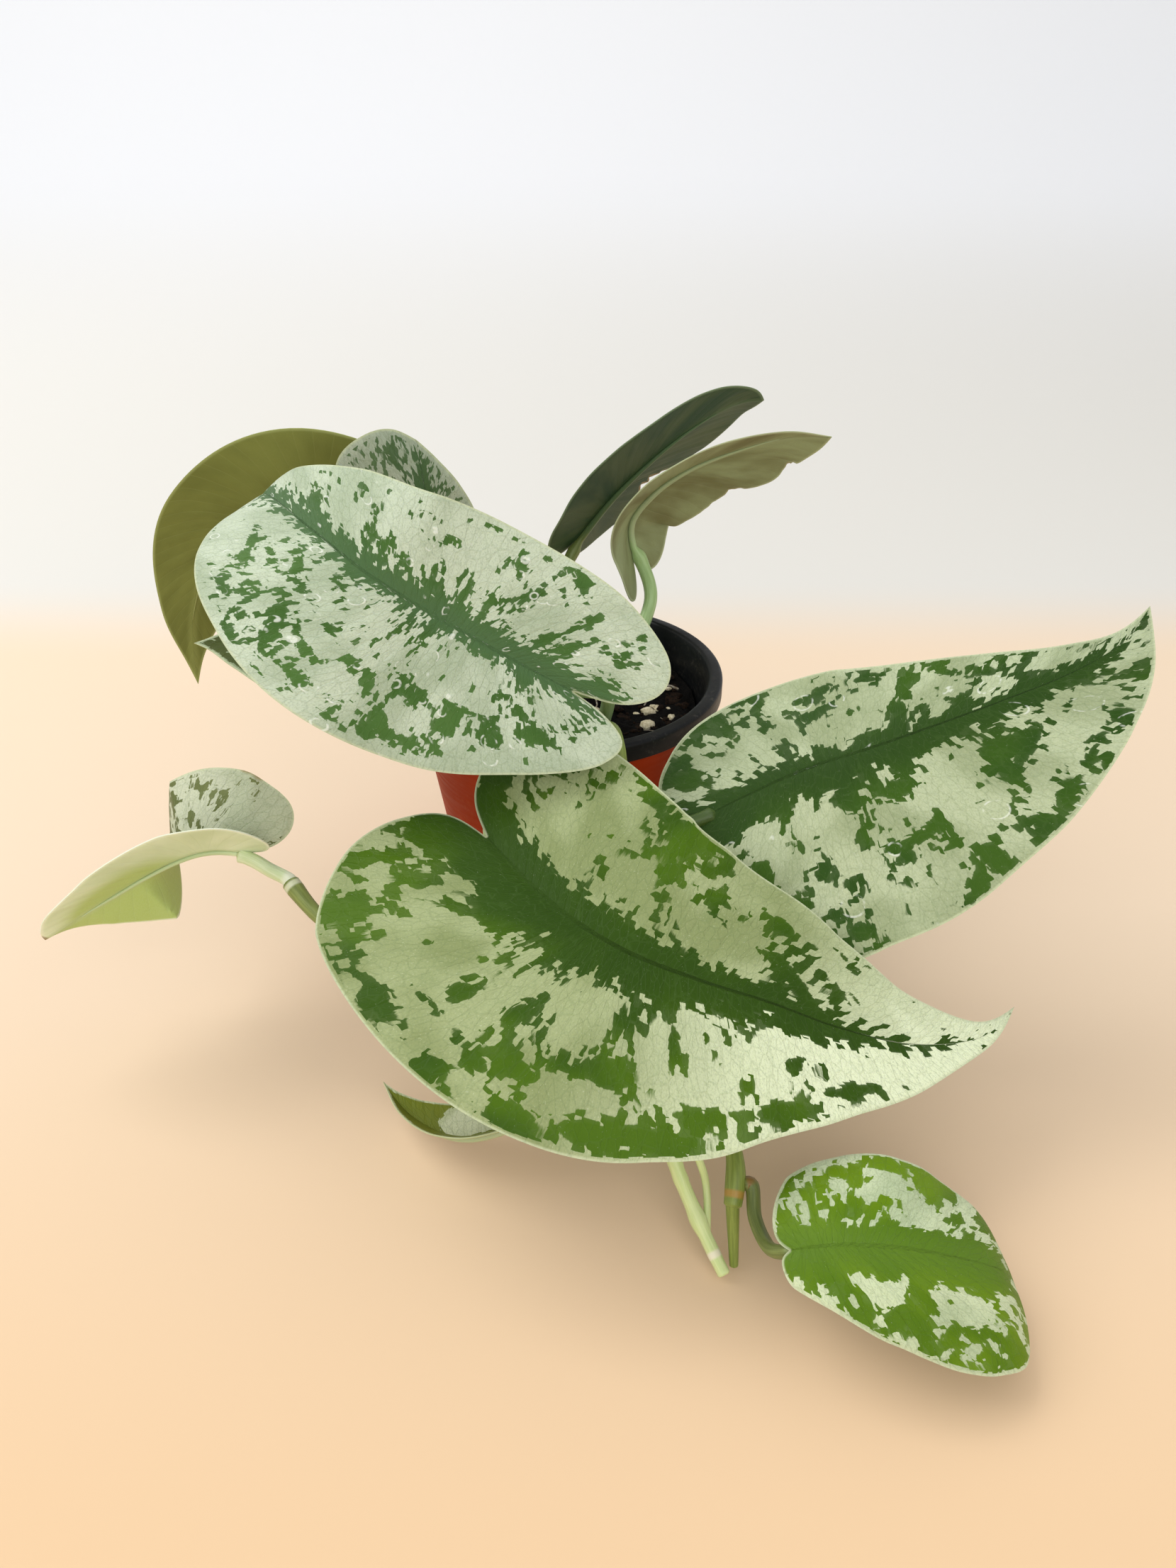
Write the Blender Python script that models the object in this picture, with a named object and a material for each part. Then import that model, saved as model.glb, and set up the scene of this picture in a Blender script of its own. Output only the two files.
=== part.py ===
"""Satin pothos trailing out of a small nursery pot, in metres with +Z up.

The origin is the centre of the pot's flat underside. -Y is the front, where the
stems hang over the rim and reach the surface that the pot stands on.
"""

import math
from dataclasses import dataclass

import bmesh
import bpy
import numpy as np
from mathutils import Matrix, Vector

MM = 0.001
# Clearance between pieces that touch in the real plant
GAP = 0.3

# Pot, in millimetres
RIM_RADIUS = 54.0
POT_HEIGHT = 95.0
BASE_RADIUS = 38.0
SHOULDER_RADIUS = 51.5
WALL = 1.2
SKIRT_HEIGHT = 6.5
SHELL_TOP = POT_HEIGHT - 2 * WALL
FOOT_ROUNDING = 2.0
POT_SIDES = 40
DRAIN_HOLES = 6
DRAIN_RADIUS = 3.5
DRAIN_CIRCLE = 25.0
DRAIN_SIDES = 14
# Extra clearance between the liner's wall and the shell's, beyond the plain gap
LINER_SLACK = 0.1
LIP_ROUNDING = 1.0

# Potting mix, in millimetres
SOIL_LEVEL = 82.0
SOIL_RINGS = 7
SOIL_SIDES = 30
SOIL_WAVE = 1.2
SOIL_CRUMB = 0.7
PERLITE_COUNT = 17
PERLITE_RADIUS = 2.6
PERLITE_SPREAD = 42.0
PERLITE_RISE = 0.4
SOIL_EDGE_DROP = 2.0
SOIL_FOOT_HEIGHT = 6.0
SOIL_SLACK = 0.2
HOLE_CLEARANCE = 0.45
HOLE_REACH = 8.0
SOIL_SEED = 11

# Leaf blades, in millimetres
BLADE_THICKNESS = 0.8
RIB_RADIUS = 1.3
RIB_END_RADIUS = 0.45
RIB_REACH = 0.62
RIB_START = 0.03
RIB_SINK = 0.1
# Side veins leave the midrib at SLOW_FOOT of their even place near the stalk
SLOW_FOOT = 0.12
FOOT_POWER = 2.2
OUTLINE_SPACING = 0.7
LEAST_CURL = 0.01

# Stalks and stems, in millimetres and fractions of their length
STALK_RINGS = 11
RIB_RINGS = 7
STEM_RINGS = 24
BRANCH_RINGS = 8
STEM_SIDES = 7
SEAT_NECK = 1.5
JOINT_SWELL = 0.5
JOINT_REACH = 0.03
STEM_TAPER_START = 0.7

# Points read from a curve before it is cut into even steps
DENSE_SAMPLES = 400

# Half outlines of a blade: along the midrib by its length, out from it by the half width.
# Each runs from the stalk, round the base lobe and the widest place, to the tip.
HEART = ((0.0, 0.0), (-0.085, 0.07), (-0.165, 0.30), (-0.135, 0.70), (0.05, 0.97),
         (0.28, 0.98), (0.55, 0.76), (0.80, 0.36), (0.93, 0.10), (1.0, 0.0))
DRIP = ((0.0, 0.0), (-0.085, 0.07), (-0.145, 0.30), (-0.12, 0.68), (0.03, 0.98),
        (0.24, 1.0), (0.46, 0.78), (0.69, 0.35), (0.87, 0.08), (1.0, 0.0))
TAPER = ((0.0, 0.0), (-0.085, 0.07), (-0.165, 0.30), (-0.135, 0.70), (0.05, 0.97),
         (0.28, 0.95), (0.55, 0.68), (0.80, 0.26), (0.93, 0.06), (1.0, 0.0))
NARROW = ((0.0, 0.0), (-0.05, 0.07), (-0.08, 0.28), (-0.03, 0.62), (0.12, 0.92),
          (0.28, 0.87), (0.55, 0.58), (0.80, 0.24), (0.93, 0.06), (1.0, 0.0))
SKEW = ((0.0, 0.0), (-0.07, 0.03), (-0.14, 0.12), (-0.13, 0.32), (0.02, 0.64),
        (0.22, 0.92), (0.42, 0.98), (0.66, 0.80), (0.86, 0.40), (1.0, 0.0))
ROUND = ((0.0, 0.0), (-0.06, 0.08), (-0.09, 0.35), (0.04, 0.78), (0.30, 1.0),
         (0.58, 0.95), (0.82, 0.70), (0.95, 0.34), (1.0, 0.0))
CURLED = ((0.0, 0.0), (-0.04, 0.06), (-0.03, 0.25), (0.12, 0.54), (0.38, 0.85),
          (0.68, 1.0), (0.93, 0.88), (1.07, 0.56), (1.09, 0.25), (1.0, 0.0))


@dataclass
class Leaf:
    """One leaf. Lengths are in millimetres and angles in degrees.

    midrib runs from the stalk to the tip. width is the half width left and right
    of the midrib, seen from above and looking to the tip. facing is the way that
    the upper face looks, at the base and at the tip. lift is the angle of each half
    at the midrib, and curl how much further it turns up to its margin, both at even
    steps from the base to the tip. A bite is its side (0 left, 1 right), place, reach
    along the margin and depth. stalk runs from its root to the blade, and seat is
    where it grows from a stem, if it doesn't rise from the mix.
    """
    name: str
    midrib: tuple
    width: tuple
    facing: tuple
    stalk: tuple
    seat: tuple = ()
    outline: tuple = (HEART, HEART)
    left_lift: tuple = (8, 6, 6)
    left_curl: tuple = (-8, -8, -6)
    right_lift: tuple = (8, 6, 6)
    right_curl: tuple = (-8, -8, -6)
    lobe_size: float = 1.0
    rows: int = 14
    steps: int = 3
    wave: float = 0.6
    wave_count: float = 4.0
    bites: tuple = ()
    stalk_radius: float = 2.2
    solver: str = "EXACT"
    colour: tuple = (0.42, 0.50, 0.33)


LEAVES = (
    Leaf("leaf_top",
         midrib=((4, -62, 120), (-30, -57, 139), (-51, -56, 153), (-69, -44, 162), (-86, -22, 164),
                 (-96, 3, 153)),
         width=(45, 33), facing=((0, -0.78, 0.62), (0.05, -0.70, 0.70)), outline=(SKEW, HEART),
         lobe_size=0.9, rows=17, steps=4,
         stalk=((10, -18, 70), (13, -25, 88), (14, -42, 108), (9, -56, 117)),
         colour=(0.50, 0.58, 0.42)),
    Leaf("leaf_front",
         midrib=((-21, -87, 87), (-1, -112, 81), (17, -124, 76), (37, -129, 70), (56, -131, 64),
                 (75, -132, 56), (96, -130, 48), (119, -121, 42), (132, -108, 41)),
         width=(49, 57), facing=((0.17, -0.48, 0.85), (0.2, -0.35, 0.9)), outline=(TAPER, DRIP),
         left_lift=(13, 4, 2, 3, 4), left_curl=(-6, -8, -8), right_lift=(4, 2, 2),
         right_curl=(-18, -20, -10),
         lobe_size=0.75, rows=17, steps=4,
         stalk=((-19, -25, 70), (-20, -38, 93), (-21, -46.5, 98.6), (-22, -57, 95), (-21, -74, 87)),
         colour=(0.30, 0.42, 0.20)),
    Leaf("leaf_right",
         midrib=((43, -71, 83), (73, -66, 96), (91, -67, 104), (108, -65, 110), (128, -62, 117),
                 (150, -55, 123), (165, -47, 128), (177, -34, 134)),
         width=(38, 57), facing=((-0.3, -0.46, 0.8), (-0.3, -0.5, 0.8)), outline=(NARROW, HEART),
         left_lift=(-4, -4, -4), right_lift=(-12, -9, -4), lobe_size=0.85, rows=17, steps=4,
         stalk=((28, -73, 80), (36, -73, 81)), seat=("vine_front", 0.37, (1, 0, 0)),
         colour=(0.38, 0.48, 0.27)),
    Leaf("leaf_low_right",
         midrib=((57, -181, 30), (70, -183, 34), (85, -184, 34), (99, -183, 29), (110, -181, 22),
                 (116, -179, 13)),
         width=(27, 25), facing=((0, -0.2, 1), (0.1, -0.1, 1)), outline=(ROUND, CURLED),
         left_curl=(-25, -25, -20), right_lift=(-15, -15, -10), right_curl=(-35, -35, -20),
         lobe_size=0.6, stalk=((51.5, -164, 20), (53, -171, 20), (54.5, -177, 24)), stalk_radius=1.9,
         seat=("vine_front", 0.97, (1, 0, 0)), colour=(0.40, 0.52, 0.28)),
    Leaf("leaf_left",
         midrib=((-99, -66, 66), (-108, -68, 68), (-118, -70, 66), (-138, -77, 57), (-158, -84, 46)),
         width=(20, 26), facing=((0, 0, 1), (0, 0, 1)), outline=(ROUND, HEART),
         left_lift=(60, 60, 55), right_lift=(62, 40, -80, -70, -40), lobe_size=1.2, wave=0.3,
         stalk=((-90, -70, 62), (-95, -68, 64)), seat=("vine_left", 1.0, ()), solver="MANIFOLD",
         colour=(0.52, 0.56, 0.38)),
    Leaf("leaf_back_left",
         midrib=((-52, 25, 127), (-88, 25, 143), (-116, 25, 133), (-132, 25, 106), (-136, 25, 76)),
         width=(29, 27), facing=((0, 0.98, 0.2), (-0.2, 0.98, 0.1)),
         stalk=((-20, 12, 70), (-24, 14, 90), (-34, 19, 110), (-44, 23, 121)), colour=(0.26, 0.27, 0.08)),
    Leaf("leaf_upper",
         midrib=((-37, -1, 126), (-40, 1, 142), (-43, 2, 157), (-45, 3, 173)),
         width=(29, 14), facing=((0, -0.95, 0.3), (0, -0.95, 0.3)), outline=(CURLED, SKEW),
         stalk=((-18, 0, 70), (-19, 4, 90), (-23, 8, 108), (-31, 4, 120)), colour=(0.34, 0.42, 0.28)),
    Leaf("leaf_under",
         midrib=((-42, -12, 105), (-64, -10, 108), (-92, -4, 108), (-126, 2, 104)),
         width=(31, 20), facing=((0, -0.3, 0.95), (0, -0.5, 0.87)), lobe_size=0.6,
         stalk=((-28, -20, 70), (-31, -19, 86), (-34, -16, 96), (-38, -13, 102)), colour=(0.20, 0.26, 0.12)),
    Leaf("leaf_back_dark",
         midrib=((3, 75, 112), (20, 75, 133), (45, 75, 155), (63, 75, 165), (72, 75, 166)),
         width=(28, 24), facing=((-0.5, 0.6, 0.7), (-0.2, 0.6, 0.7)), outline=(ROUND, ROUND),
         bites=((0, 0.50, 0.05, 0.45),),
         stalk=((8, 27, 70), (6, 36, 92), (1, 52, 103), (0, 68, 105)), colour=(0.10, 0.13, 0.06)),
    Leaf("leaf_back_right",
         midrib=((24, 48, 118), (23, 50, 129), (31, 50, 140), (44, 50, 149), (62, 50, 156),
                 (78, 50, 160), (93, 50, 160)),
         width=(24, 18), facing=((-0.8, 0.6, 0.3), (-0.1, 0.75, 0.65)), outline=(ROUND, HEART),
         left_lift=(-12, -12, -12), right_lift=(-12, -12, -12),
         bites=((0, 0.74, 0.03, 0.22), (0, 0.58, 0.05, 0.18)), stalk_radius=2.4,
         stalk=((24, 22, 70), (26, 29, 90), (31, 39, 105), (28, 47, 114)), colour=(0.26, 0.30, 0.18)),
    Leaf("leaf_small",
         midrib=((-8, -128, 18), (-28, -130, 11), (-44, -121, 9), (-54, -110, 12)),
         width=(11, 13), facing=((0, 0, 1), (0, 0, 1)), left_lift=(45, 45, 45), right_lift=(10, 10, 10),
         left_curl=(0, 0, 0), right_curl=(0, 0, 0), wave=0.2, stalk_radius=1.5,
         stalk=((19, -85, 66), (14, -92, 57), (4, -112, 35), (-3, -124, 21)),
         seat=("vine_front", 0.46, (-1, 0, 0)), solver="MANIFOLD", colour=(0.30, 0.30, 0.10)),
)


@dataclass
class Stem:
    """One trailing stem in millimetres, with swollen leaf joints at given fractions.

    seat is where it grows from another stem, if it isn't planted in the mix.
    """
    name: str
    route: tuple
    radius: float
    joints: tuple = ()
    tip_radius: float = 1.6
    branches: tuple = ()
    seat: tuple = ()
    colour: tuple = (0.13, 0.13, 0.03)


STEMS = (
    Stem("vine_left",
         route=((-10, -28, 70), (-12, -39, 93), (-14, -48.5, 98.2), (-15, -57.5, 93.5), (-18, -69, 76),
                (-30, -84, 59), (-50, -92, 52), (-68, -87, 53), (-83, -74, 60)),
         radius=2.3, joints=(0.62, 0.99), tip_radius=2.3),
    Stem("vine_front",
         route=((10, -30, 70), (13, -40, 94), (16, -50, 99), (18, -60, 92), (20, -70, 80),
                (30, -100, 55), (41, -134, 34), (47, -150, 28), (46, -161, 21)),
         radius=2.3, joints=(0.37, 0.97), tip_radius=2.2,
         branches=((((46, -160, 21), (46.5, -163, 12), (47, -166, 2.6)), 1.9, 1.2),)),
    Stem("young_shoot",
         route=((22, -99, 50), (24, -112, 44), (29, -132, 35), (31, -147, 24), (37, -157, 12),
                (44, -169, 3.2)),
         radius=2.1, joints=(0.86,), tip_radius=1.7, seat=("vine_front", 0.52, (-0.5, 0, -1)),
         colour=(0.52, 0.58, 0.24),
         branches=((((31, -128, 40), (37, -148, 27), (40, -151, 17), (40, -160, 8.5)), 1.2, 1.0),)),
)


def clear_scene():
    """Empties the scene."""
    for item in list(bpy.data.objects):
        bpy.data.objects.remove(item, do_unlink=True)


def smooth_curve(points, places, power=0.5):
    """Cubic curve through points, read at places from 0 to 1.

    The points are spaced by their chord lengths raised to power, and each slope is
    the weighted mean of the chords on its two sides.
    """
    known = np.asarray(points, float)
    steps = np.linalg.norm(np.diff(known, axis=0), axis=1) ** power
    knots = np.concatenate([[0.0], np.cumsum(steps)])
    knots = knots / knots[-1]
    span = np.diff(knots)
    chord = np.diff(known, axis=0) / span[:, None]
    slope = np.empty_like(known)
    before, after = span[:-1, None], span[1:, None]
    slope[1:-1] = (chord[:-1] * after + chord[1:] * before) / (before + after)
    slope[0] = 1.5 * chord[0] - 0.5 * slope[1]
    slope[-1] = 1.5 * chord[-1] - 0.5 * slope[-2]
    index = np.clip(np.searchsorted(knots, places, side="right") - 1, 0, len(knots) - 2)
    width = span[index][:, None]
    s = ((places - knots[index]) / span[index])[:, None]
    return ((2 * s**3 - 3 * s**2 + 1) * known[index] + (s**3 - 2 * s**2 + s) * width * slope[index]
            + (3 * s**2 - 2 * s**3) * known[index + 1] + (s**3 - s**2) * width * slope[index + 1])


def unit(vectors):
    """Scales each vector to length 1."""
    return vectors / np.linalg.norm(vectors, axis=-1, keepdims=True)


def even_path(points, count):
    """Reads a smooth curve through points at count even steps of its length."""
    dense = smooth_curve(points, np.linspace(0, 1, DENSE_SAMPLES))
    length = np.concatenate([[0.0], np.cumsum(np.linalg.norm(np.diff(dense, axis=0), axis=1))])
    wanted = np.linspace(0, length[-1], count)
    return np.stack([np.interp(wanted, length, dense[:, k]) for k in range(3)], axis=-1)


def seat_on(seat):
    """Start and direction of a stalk or shoot that grows from a stem.

    A seat is the stem's name, the place along it and the side that it faces. It lies
    one clearance off the stem's skin, or off its cut end where no side is given.
    """
    name, place, side = seat
    stem = next(stem for stem in STEMS if stem.name == name)
    path = even_path(stem.route, STEM_RINGS)
    along = np.gradient(path, axis=0)
    rings = np.linspace(0, 1, STEM_RINGS)
    point = np.array([np.interp(place, rings, path[:, k]) for k in range(3)])
    direction = unit(np.array([np.interp(place, rings, along[:, k]) for k in range(3)]))
    if not side:
        return point + direction * GAP, direction
    out = unit(np.array(side, float) - (np.array(side) @ direction) * direction)
    skin = np.interp(place, rings, stem_radii(stem, STEM_RINGS))
    return point + out * (skin + GAP), out


def grown_path(seat, points, count):
    """Even path through points, which starts square to its seat where it has one."""
    if not seat:
        return even_path(points, count)
    start, out = seat_on(seat)
    return np.concatenate([[start], even_path((start + out * SEAT_NECK, *points), count - 1)])


class Spine:
    """The bent line of a blade's midrib, with the axes of the blade along it."""

    SAMPLES = 200
    BEHIND = 70
    AHEAD = 30
    SMOOTHING = 3

    def __init__(self, leaf):
        count = self.SAMPLES
        line = even_path(leaf.midrib, count + 1)
        self.length = float(np.linalg.norm(np.diff(line, axis=0), axis=1).sum())
        along = np.gradient(line, axis=0)
        padded = np.pad(along, ((self.SMOOTHING, self.SMOOTHING), (0, 0)), mode="edge")
        along = unit(sum(padded[k:k + count + 1] for k in range(2 * self.SMOOTHING + 1)))
        step = self.length / count
        back = np.arange(-self.BEHIND, 0)[:, None] * step
        front = np.arange(1, self.AHEAD + 1)[:, None] * step
        self.line = np.concatenate([line[0] + along[0] * back, line, line[-1] + along[-1] * front])
        self.along = np.concatenate([np.repeat(along[:1], self.BEHIND, axis=0), along,
                                     np.repeat(along[-1:], self.AHEAD, axis=0)])
        self.place = np.arange(-self.BEHIND, count + self.AHEAD + 1) / count
        blend = np.clip(self.place, 0, 1)[:, None]
        base_face, tip_face = (unit(np.array(face, float)) for face in leaf.facing)
        face = base_face * (1 - blend) + tip_face * blend
        self.up = unit(face - (face * self.along).sum(axis=-1, keepdims=True) * self.along)
        self.left = np.cross(self.up, self.along)

    def read(self, values, place):
        """Reads one of the spine's vector rows at places along the midrib."""
        return np.stack([np.interp(place, self.place, values[:, k]) for k in range(3)], axis=-1)


def margin_factor(leaf, side, rows):
    """How much of the half width is left at each row once the bites are taken out."""
    factor = np.ones_like(rows)
    for bite_side, place, reach, depth in leaf.bites:
        if bite_side == side:
            factor = factor - depth * np.exp(-((rows - place) / reach) ** 2)
    return factor


def angle_at(degrees, place):
    """Angle in radians at places along a blade, from degrees given at even steps of it."""
    return np.radians(np.interp(place, np.linspace(0, 1, len(degrees)), degrees))


def blade_grid(leaf, row_count, step_count):
    """Middle surface of a blade: rows from the stalk to the tip, columns right to left.

    Each row starts on the midrib and sweeps forward to the outline, as a side vein
    does. Each half is an arc whose angle starts at the lift and turns by the curl.
    """
    spine = Spine(leaf)
    rows = np.linspace(0, 1, row_count + 1)
    across = np.linspace(-1, 1, 2 * step_count + 1)
    reach = np.abs(across)[None]
    is_left = np.broadcast_to((across > 0)[None], (row_count + 1, across.size))
    foot = (SLOW_FOOT * rows + (1 - SLOW_FOOT) * rows**FOOT_POWER)[:, None]
    edge_x, edge_y = [], []
    for side in (0, 1):
        edge = smooth_curve(leaf.outline[side], rows, OUTLINE_SPACING)
        edge_x.append(np.where(edge[:, 0] < 0, edge[:, 0] * leaf.lobe_size, edge[:, 0]))
        edge_y.append(np.maximum(edge[:, 1], 0) * margin_factor(leaf, side, rows))
    edge_x = np.where(is_left, edge_x[0][:, None], edge_x[1][:, None])
    edge_y = np.where(is_left, edge_y[0][:, None], edge_y[1][:, None])
    place = foot + (edge_x - foot) * reach
    half = np.where(is_left, leaf.width[0], leaf.width[1])
    out = edge_y * reach
    lift = np.where(is_left, angle_at(leaf.left_lift, place), angle_at(leaf.right_lift, place))
    curl = np.where(is_left, angle_at(leaf.left_curl, place), angle_at(leaf.right_curl, place))
    curl = np.where(np.abs(curl) < LEAST_CURL, LEAST_CURL, curl)
    sideways = half * (np.sin(lift + curl * out) - np.sin(lift)) / curl
    rise = half * (np.cos(lift) - np.cos(lift + curl * out)) / curl
    ripple = np.sin(2 * math.pi * leaf.wave_count * rows[:, None] + np.where(is_left, 0.0, 2.0))
    rise = rise + leaf.wave * out**2 * ripple
    sideways = np.where(is_left, sideways, -sideways)
    return (spine.read(spine.line, place) + spine.read(spine.left, place) * sideways[..., None]
            + spine.read(spine.up, place) * rise[..., None])


def grid_normals(grid):
    """Upward unit normals of a blade grid, with the two pointed ends averaged."""
    down_rows = np.gradient(grid, axis=0)
    over_columns = np.gradient(grid, axis=1)
    normal = np.cross(down_rows, over_columns)
    normal[0] = normal[1].sum(axis=0)
    normal[-1] = normal[-2].sum(axis=0)
    return unit(normal)


def new_object(name, points, faces, colour, roughness=0.5):
    """Makes an object from millimetre points and faces, with its own material."""
    mesh = bpy.data.meshes.new(name)
    mesh.from_pydata((np.asarray(points) * MM).tolist(), [], [list(face) for face in faces])
    mesh.validate()
    item = bpy.data.objects.new(name, mesh)
    bpy.context.scene.collection.objects.link(item)
    material = bpy.data.materials.new(name)
    material.use_nodes = True
    shader = material.node_tree.nodes["Principled BSDF"]
    shader.inputs["Base Color"].default_value = (*colour, 1.0)
    shader.inputs["Roughness"].default_value = roughness
    shader.inputs["Metallic"].default_value = 0.0
    mesh.materials.append(material)
    return item


def fix_normals(item):
    """Turns every face of a closed mesh outwards."""
    mesh_data = bmesh.new()
    mesh_data.from_mesh(item.data)
    bmesh.ops.recalc_face_normals(mesh_data, faces=mesh_data.faces)
    mesh_data.to_mesh(item.data)
    mesh_data.free()


def blade_faces(row_count, column_count):
    """Triangles of one closed blade: upper face, lower face and the edge between them.

    Point 0 is the stalk end and the last point the tip. Rows in between hold
    column_count points each, and the lower face's points follow the upper face's.
    """
    per_face = (row_count - 1) * column_count + 2

    def point(row, column):
        if row == 0:
            return 0
        if row == row_count:
            return per_face - 1
        return 1 + (row - 1) * column_count + column

    upper = []
    middle = column_count // 2
    for row in range(row_count):
        for column in range(column_count - 1):
            a, b = point(row, column), point(row, column + 1)
            c, d = point(row + 1, column + 1), point(row + 1, column)
            cut = ((a, b, c), (a, c, d)) if column < middle else ((a, b, d), (b, c, d))
            upper.extend(face for face in cut if len(set(face)) == 3)
    lower = [tuple(reversed([index + per_face for index in face])) for face in upper]
    rim = [point(row, 0) for row in range(row_count)]
    rim += [point(row, column_count - 1) for row in range(row_count, 0, -1)]
    edge = []
    for here, after in zip(rim, rim[1:] + rim[:1]):
        edge.append((here, after + per_face, after))
        edge.append((here, here + per_face, after + per_face))
    return upper + lower + edge


def blade_object(leaf):
    """Closed blade of even thickness round the middle surface."""
    grid = blade_grid(leaf, leaf.rows, leaf.steps)
    normal = grid_normals(grid)
    sheets = []
    for side in (0.5, -0.5):
        sheet = grid + normal * side * BLADE_THICKNESS
        sheets.append(np.concatenate([sheet[0, :1], sheet[1:-1].reshape(-1, 3), sheet[-1, :1]]))
    item = new_object(leaf.name, np.concatenate(sheets), blade_faces(leaf.rows, grid.shape[1]),
                      leaf.colour, 0.45)
    fix_normals(item)
    return item


def tube(name, path, radii, colour, sides=STEM_SIDES):
    """Closed tube along a path, its rings carried along without twist."""
    path = np.asarray(path, float)
    along = unit(np.gradient(path, axis=0))
    start = np.cross(along[0], (0.0, 1.0, 0.0))
    if np.linalg.norm(start) < 0.2:
        start = np.cross(along[0], (1.0, 0.0, 0.0))
    side = unit(start)
    angle = np.linspace(0, 2 * math.pi, sides, endpoint=False)
    points = []
    for centre, direction, radius in zip(path, along, radii):
        side = unit(side - (side @ direction) * direction)
        other = np.cross(direction, side)
        ring = np.cos(angle)[:, None] * side + np.sin(angle)[:, None] * other
        points.append(centre + ring * radius)
    faces = []
    for ring in range(len(path) - 1):
        for k in range(sides):
            after = (k + 1) % sides
            low, high = ring * sides, (ring + 1) * sides
            faces.append((low + k, low + after, high + after, high + k))
    last = (len(path) - 1) * sides
    faces.append(tuple(reversed(range(sides))))
    faces.append(tuple(last + k for k in range(sides)))
    item = new_object(name, np.concatenate(points), faces, colour)
    fix_normals(item)
    return item


def combine(item, others, operation="UNION", solver="EXACT"):
    """Joins other solids to an object, or cuts them from it, and removes them."""
    group = bpy.data.collections.new(item.name + "_others")
    for other in others:
        bpy.context.scene.collection.objects.unlink(other)
        group.objects.link(other)
    bpy.context.scene.collection.children.link(group)
    modifier = item.modifiers.new("combine", "BOOLEAN")
    modifier.operation = operation
    modifier.solver = solver
    modifier.operand_type = "COLLECTION"
    modifier.collection = group
    bpy.context.view_layer.update()
    graph = bpy.context.evaluated_depsgraph_get()
    result = bpy.data.meshes.new_from_object(item.evaluated_get(graph))
    item.modifiers.clear()
    result.name = item.name
    item.data = result
    for other in others:
        bpy.data.objects.remove(other, do_unlink=True)
    bpy.data.collections.remove(group)
    material = result.materials[0]
    result.materials.clear()
    result.materials.append(material)


def stalk_path(leaf):
    """The stalk from its root to the blade, then the rib under the blade's midrib."""
    spine = Spine(leaf)
    rib_places = np.linspace(RIB_START, RIB_REACH, RIB_RINGS)
    rib_radii = np.interp(rib_places, (0, RIB_REACH), (min(RIB_RADIUS, leaf.stalk_radius), RIB_END_RADIUS))
    below = (rib_radii - RIB_SINK)[:, None]
    rib = spine.read(spine.line, rib_places) - spine.read(spine.up, rib_places) * below
    stalk = grown_path(leaf.seat, (*leaf.stalk, tuple(rib[0])), STALK_RINGS + 1)
    stalk_radii = np.full(STALK_RINGS, leaf.stalk_radius)
    stalk_radii[-1] = (leaf.stalk_radius + rib_radii[0]) / 2
    return np.concatenate([stalk[:-1], rib]), np.concatenate([stalk_radii, rib_radii])


def build_leaf(leaf):
    """One leaf with its stalk and raised midrib, as a single solid."""
    blade = blade_object(leaf)
    path, radii = stalk_path(leaf)
    combine(blade, [tube(leaf.name + "_stalk", path, radii, leaf.colour)], solver=leaf.solver)
    blade.data.shade_smooth()
    return blade


def stem_radii(stem, count):
    """Stem radius along its length, swollen at each leaf joint."""
    place = np.linspace(0, 1, count)
    radii = np.interp(place, (0, STEM_TAPER_START, 1), (stem.radius, stem.radius, stem.tip_radius))
    for joint in stem.joints:
        radii = radii + JOINT_SWELL * np.exp(-((place - joint) / JOINT_REACH) ** 2)
    return radii


def build_stem(stem):
    """One trailing stem with its side branches, as a single solid."""
    path = grown_path(stem.seat, stem.route, STEM_RINGS)
    item = tube(stem.name, path, stem_radii(stem, STEM_RINGS), stem.colour)
    branches = []
    for route, start_radius, end_radius in stem.branches:
        branches.append(tube(stem.name + "_branch", even_path(route, BRANCH_RINGS),
                             np.linspace(start_radius, end_radius, BRANCH_RINGS), stem.colour))
    if branches:
        combine(item, branches)
    item.data.shade_smooth()
    return item


def turned(name, profile, colour, roughness):
    """Solid turned round the vertical axis from a closed profile of radius and height."""
    mesh_data = bmesh.new()
    points = [mesh_data.verts.new((radius * MM, 0.0, height * MM)) for radius, height in profile]
    edges = [mesh_data.edges.new((a, b)) for a, b in zip(points, points[1:])]
    bmesh.ops.spin(mesh_data, geom=points + edges, cent=(0, 0, 0), axis=(0, 0, 1),
                   angle=2 * math.pi, steps=POT_SIDES, use_merge=False, use_duplicate=False)
    bmesh.ops.remove_doubles(mesh_data, verts=mesh_data.verts, dist=1e-6)
    bmesh.ops.dissolve_degenerate(mesh_data, dist=1e-7, edges=mesh_data.edges)
    bmesh.ops.recalc_face_normals(mesh_data, faces=mesh_data.faces)
    item = new_object(name, [(0, 0, 0)], [], colour, roughness)
    mesh_data.to_mesh(item.data)
    mesh_data.free()
    return item


def drain_cutters():
    """Round cutters for the ring of drain holes in the pot's floor."""
    cutters = []
    for number in range(DRAIN_HOLES):
        mesh_data = bmesh.new()
        turn = 2 * math.pi * number / DRAIN_HOLES
        centre = Vector((math.cos(turn), math.sin(turn), 0.0)) * DRAIN_CIRCLE * MM
        bmesh.ops.create_cone(mesh_data, cap_ends=True, segments=DRAIN_SIDES, radius1=DRAIN_RADIUS * MM,
                              radius2=DRAIN_RADIUS * MM, depth=4 * DRAIN_RADIUS * MM,
                              matrix=Matrix.Translation(centre))
        cutter = new_object("drain_cutter", [(0, 0, 0)], [], (0, 0, 0))
        mesh_data.to_mesh(cutter.data)
        mesh_data.free()
        cutters.append(cutter)
    return cutters


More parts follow.
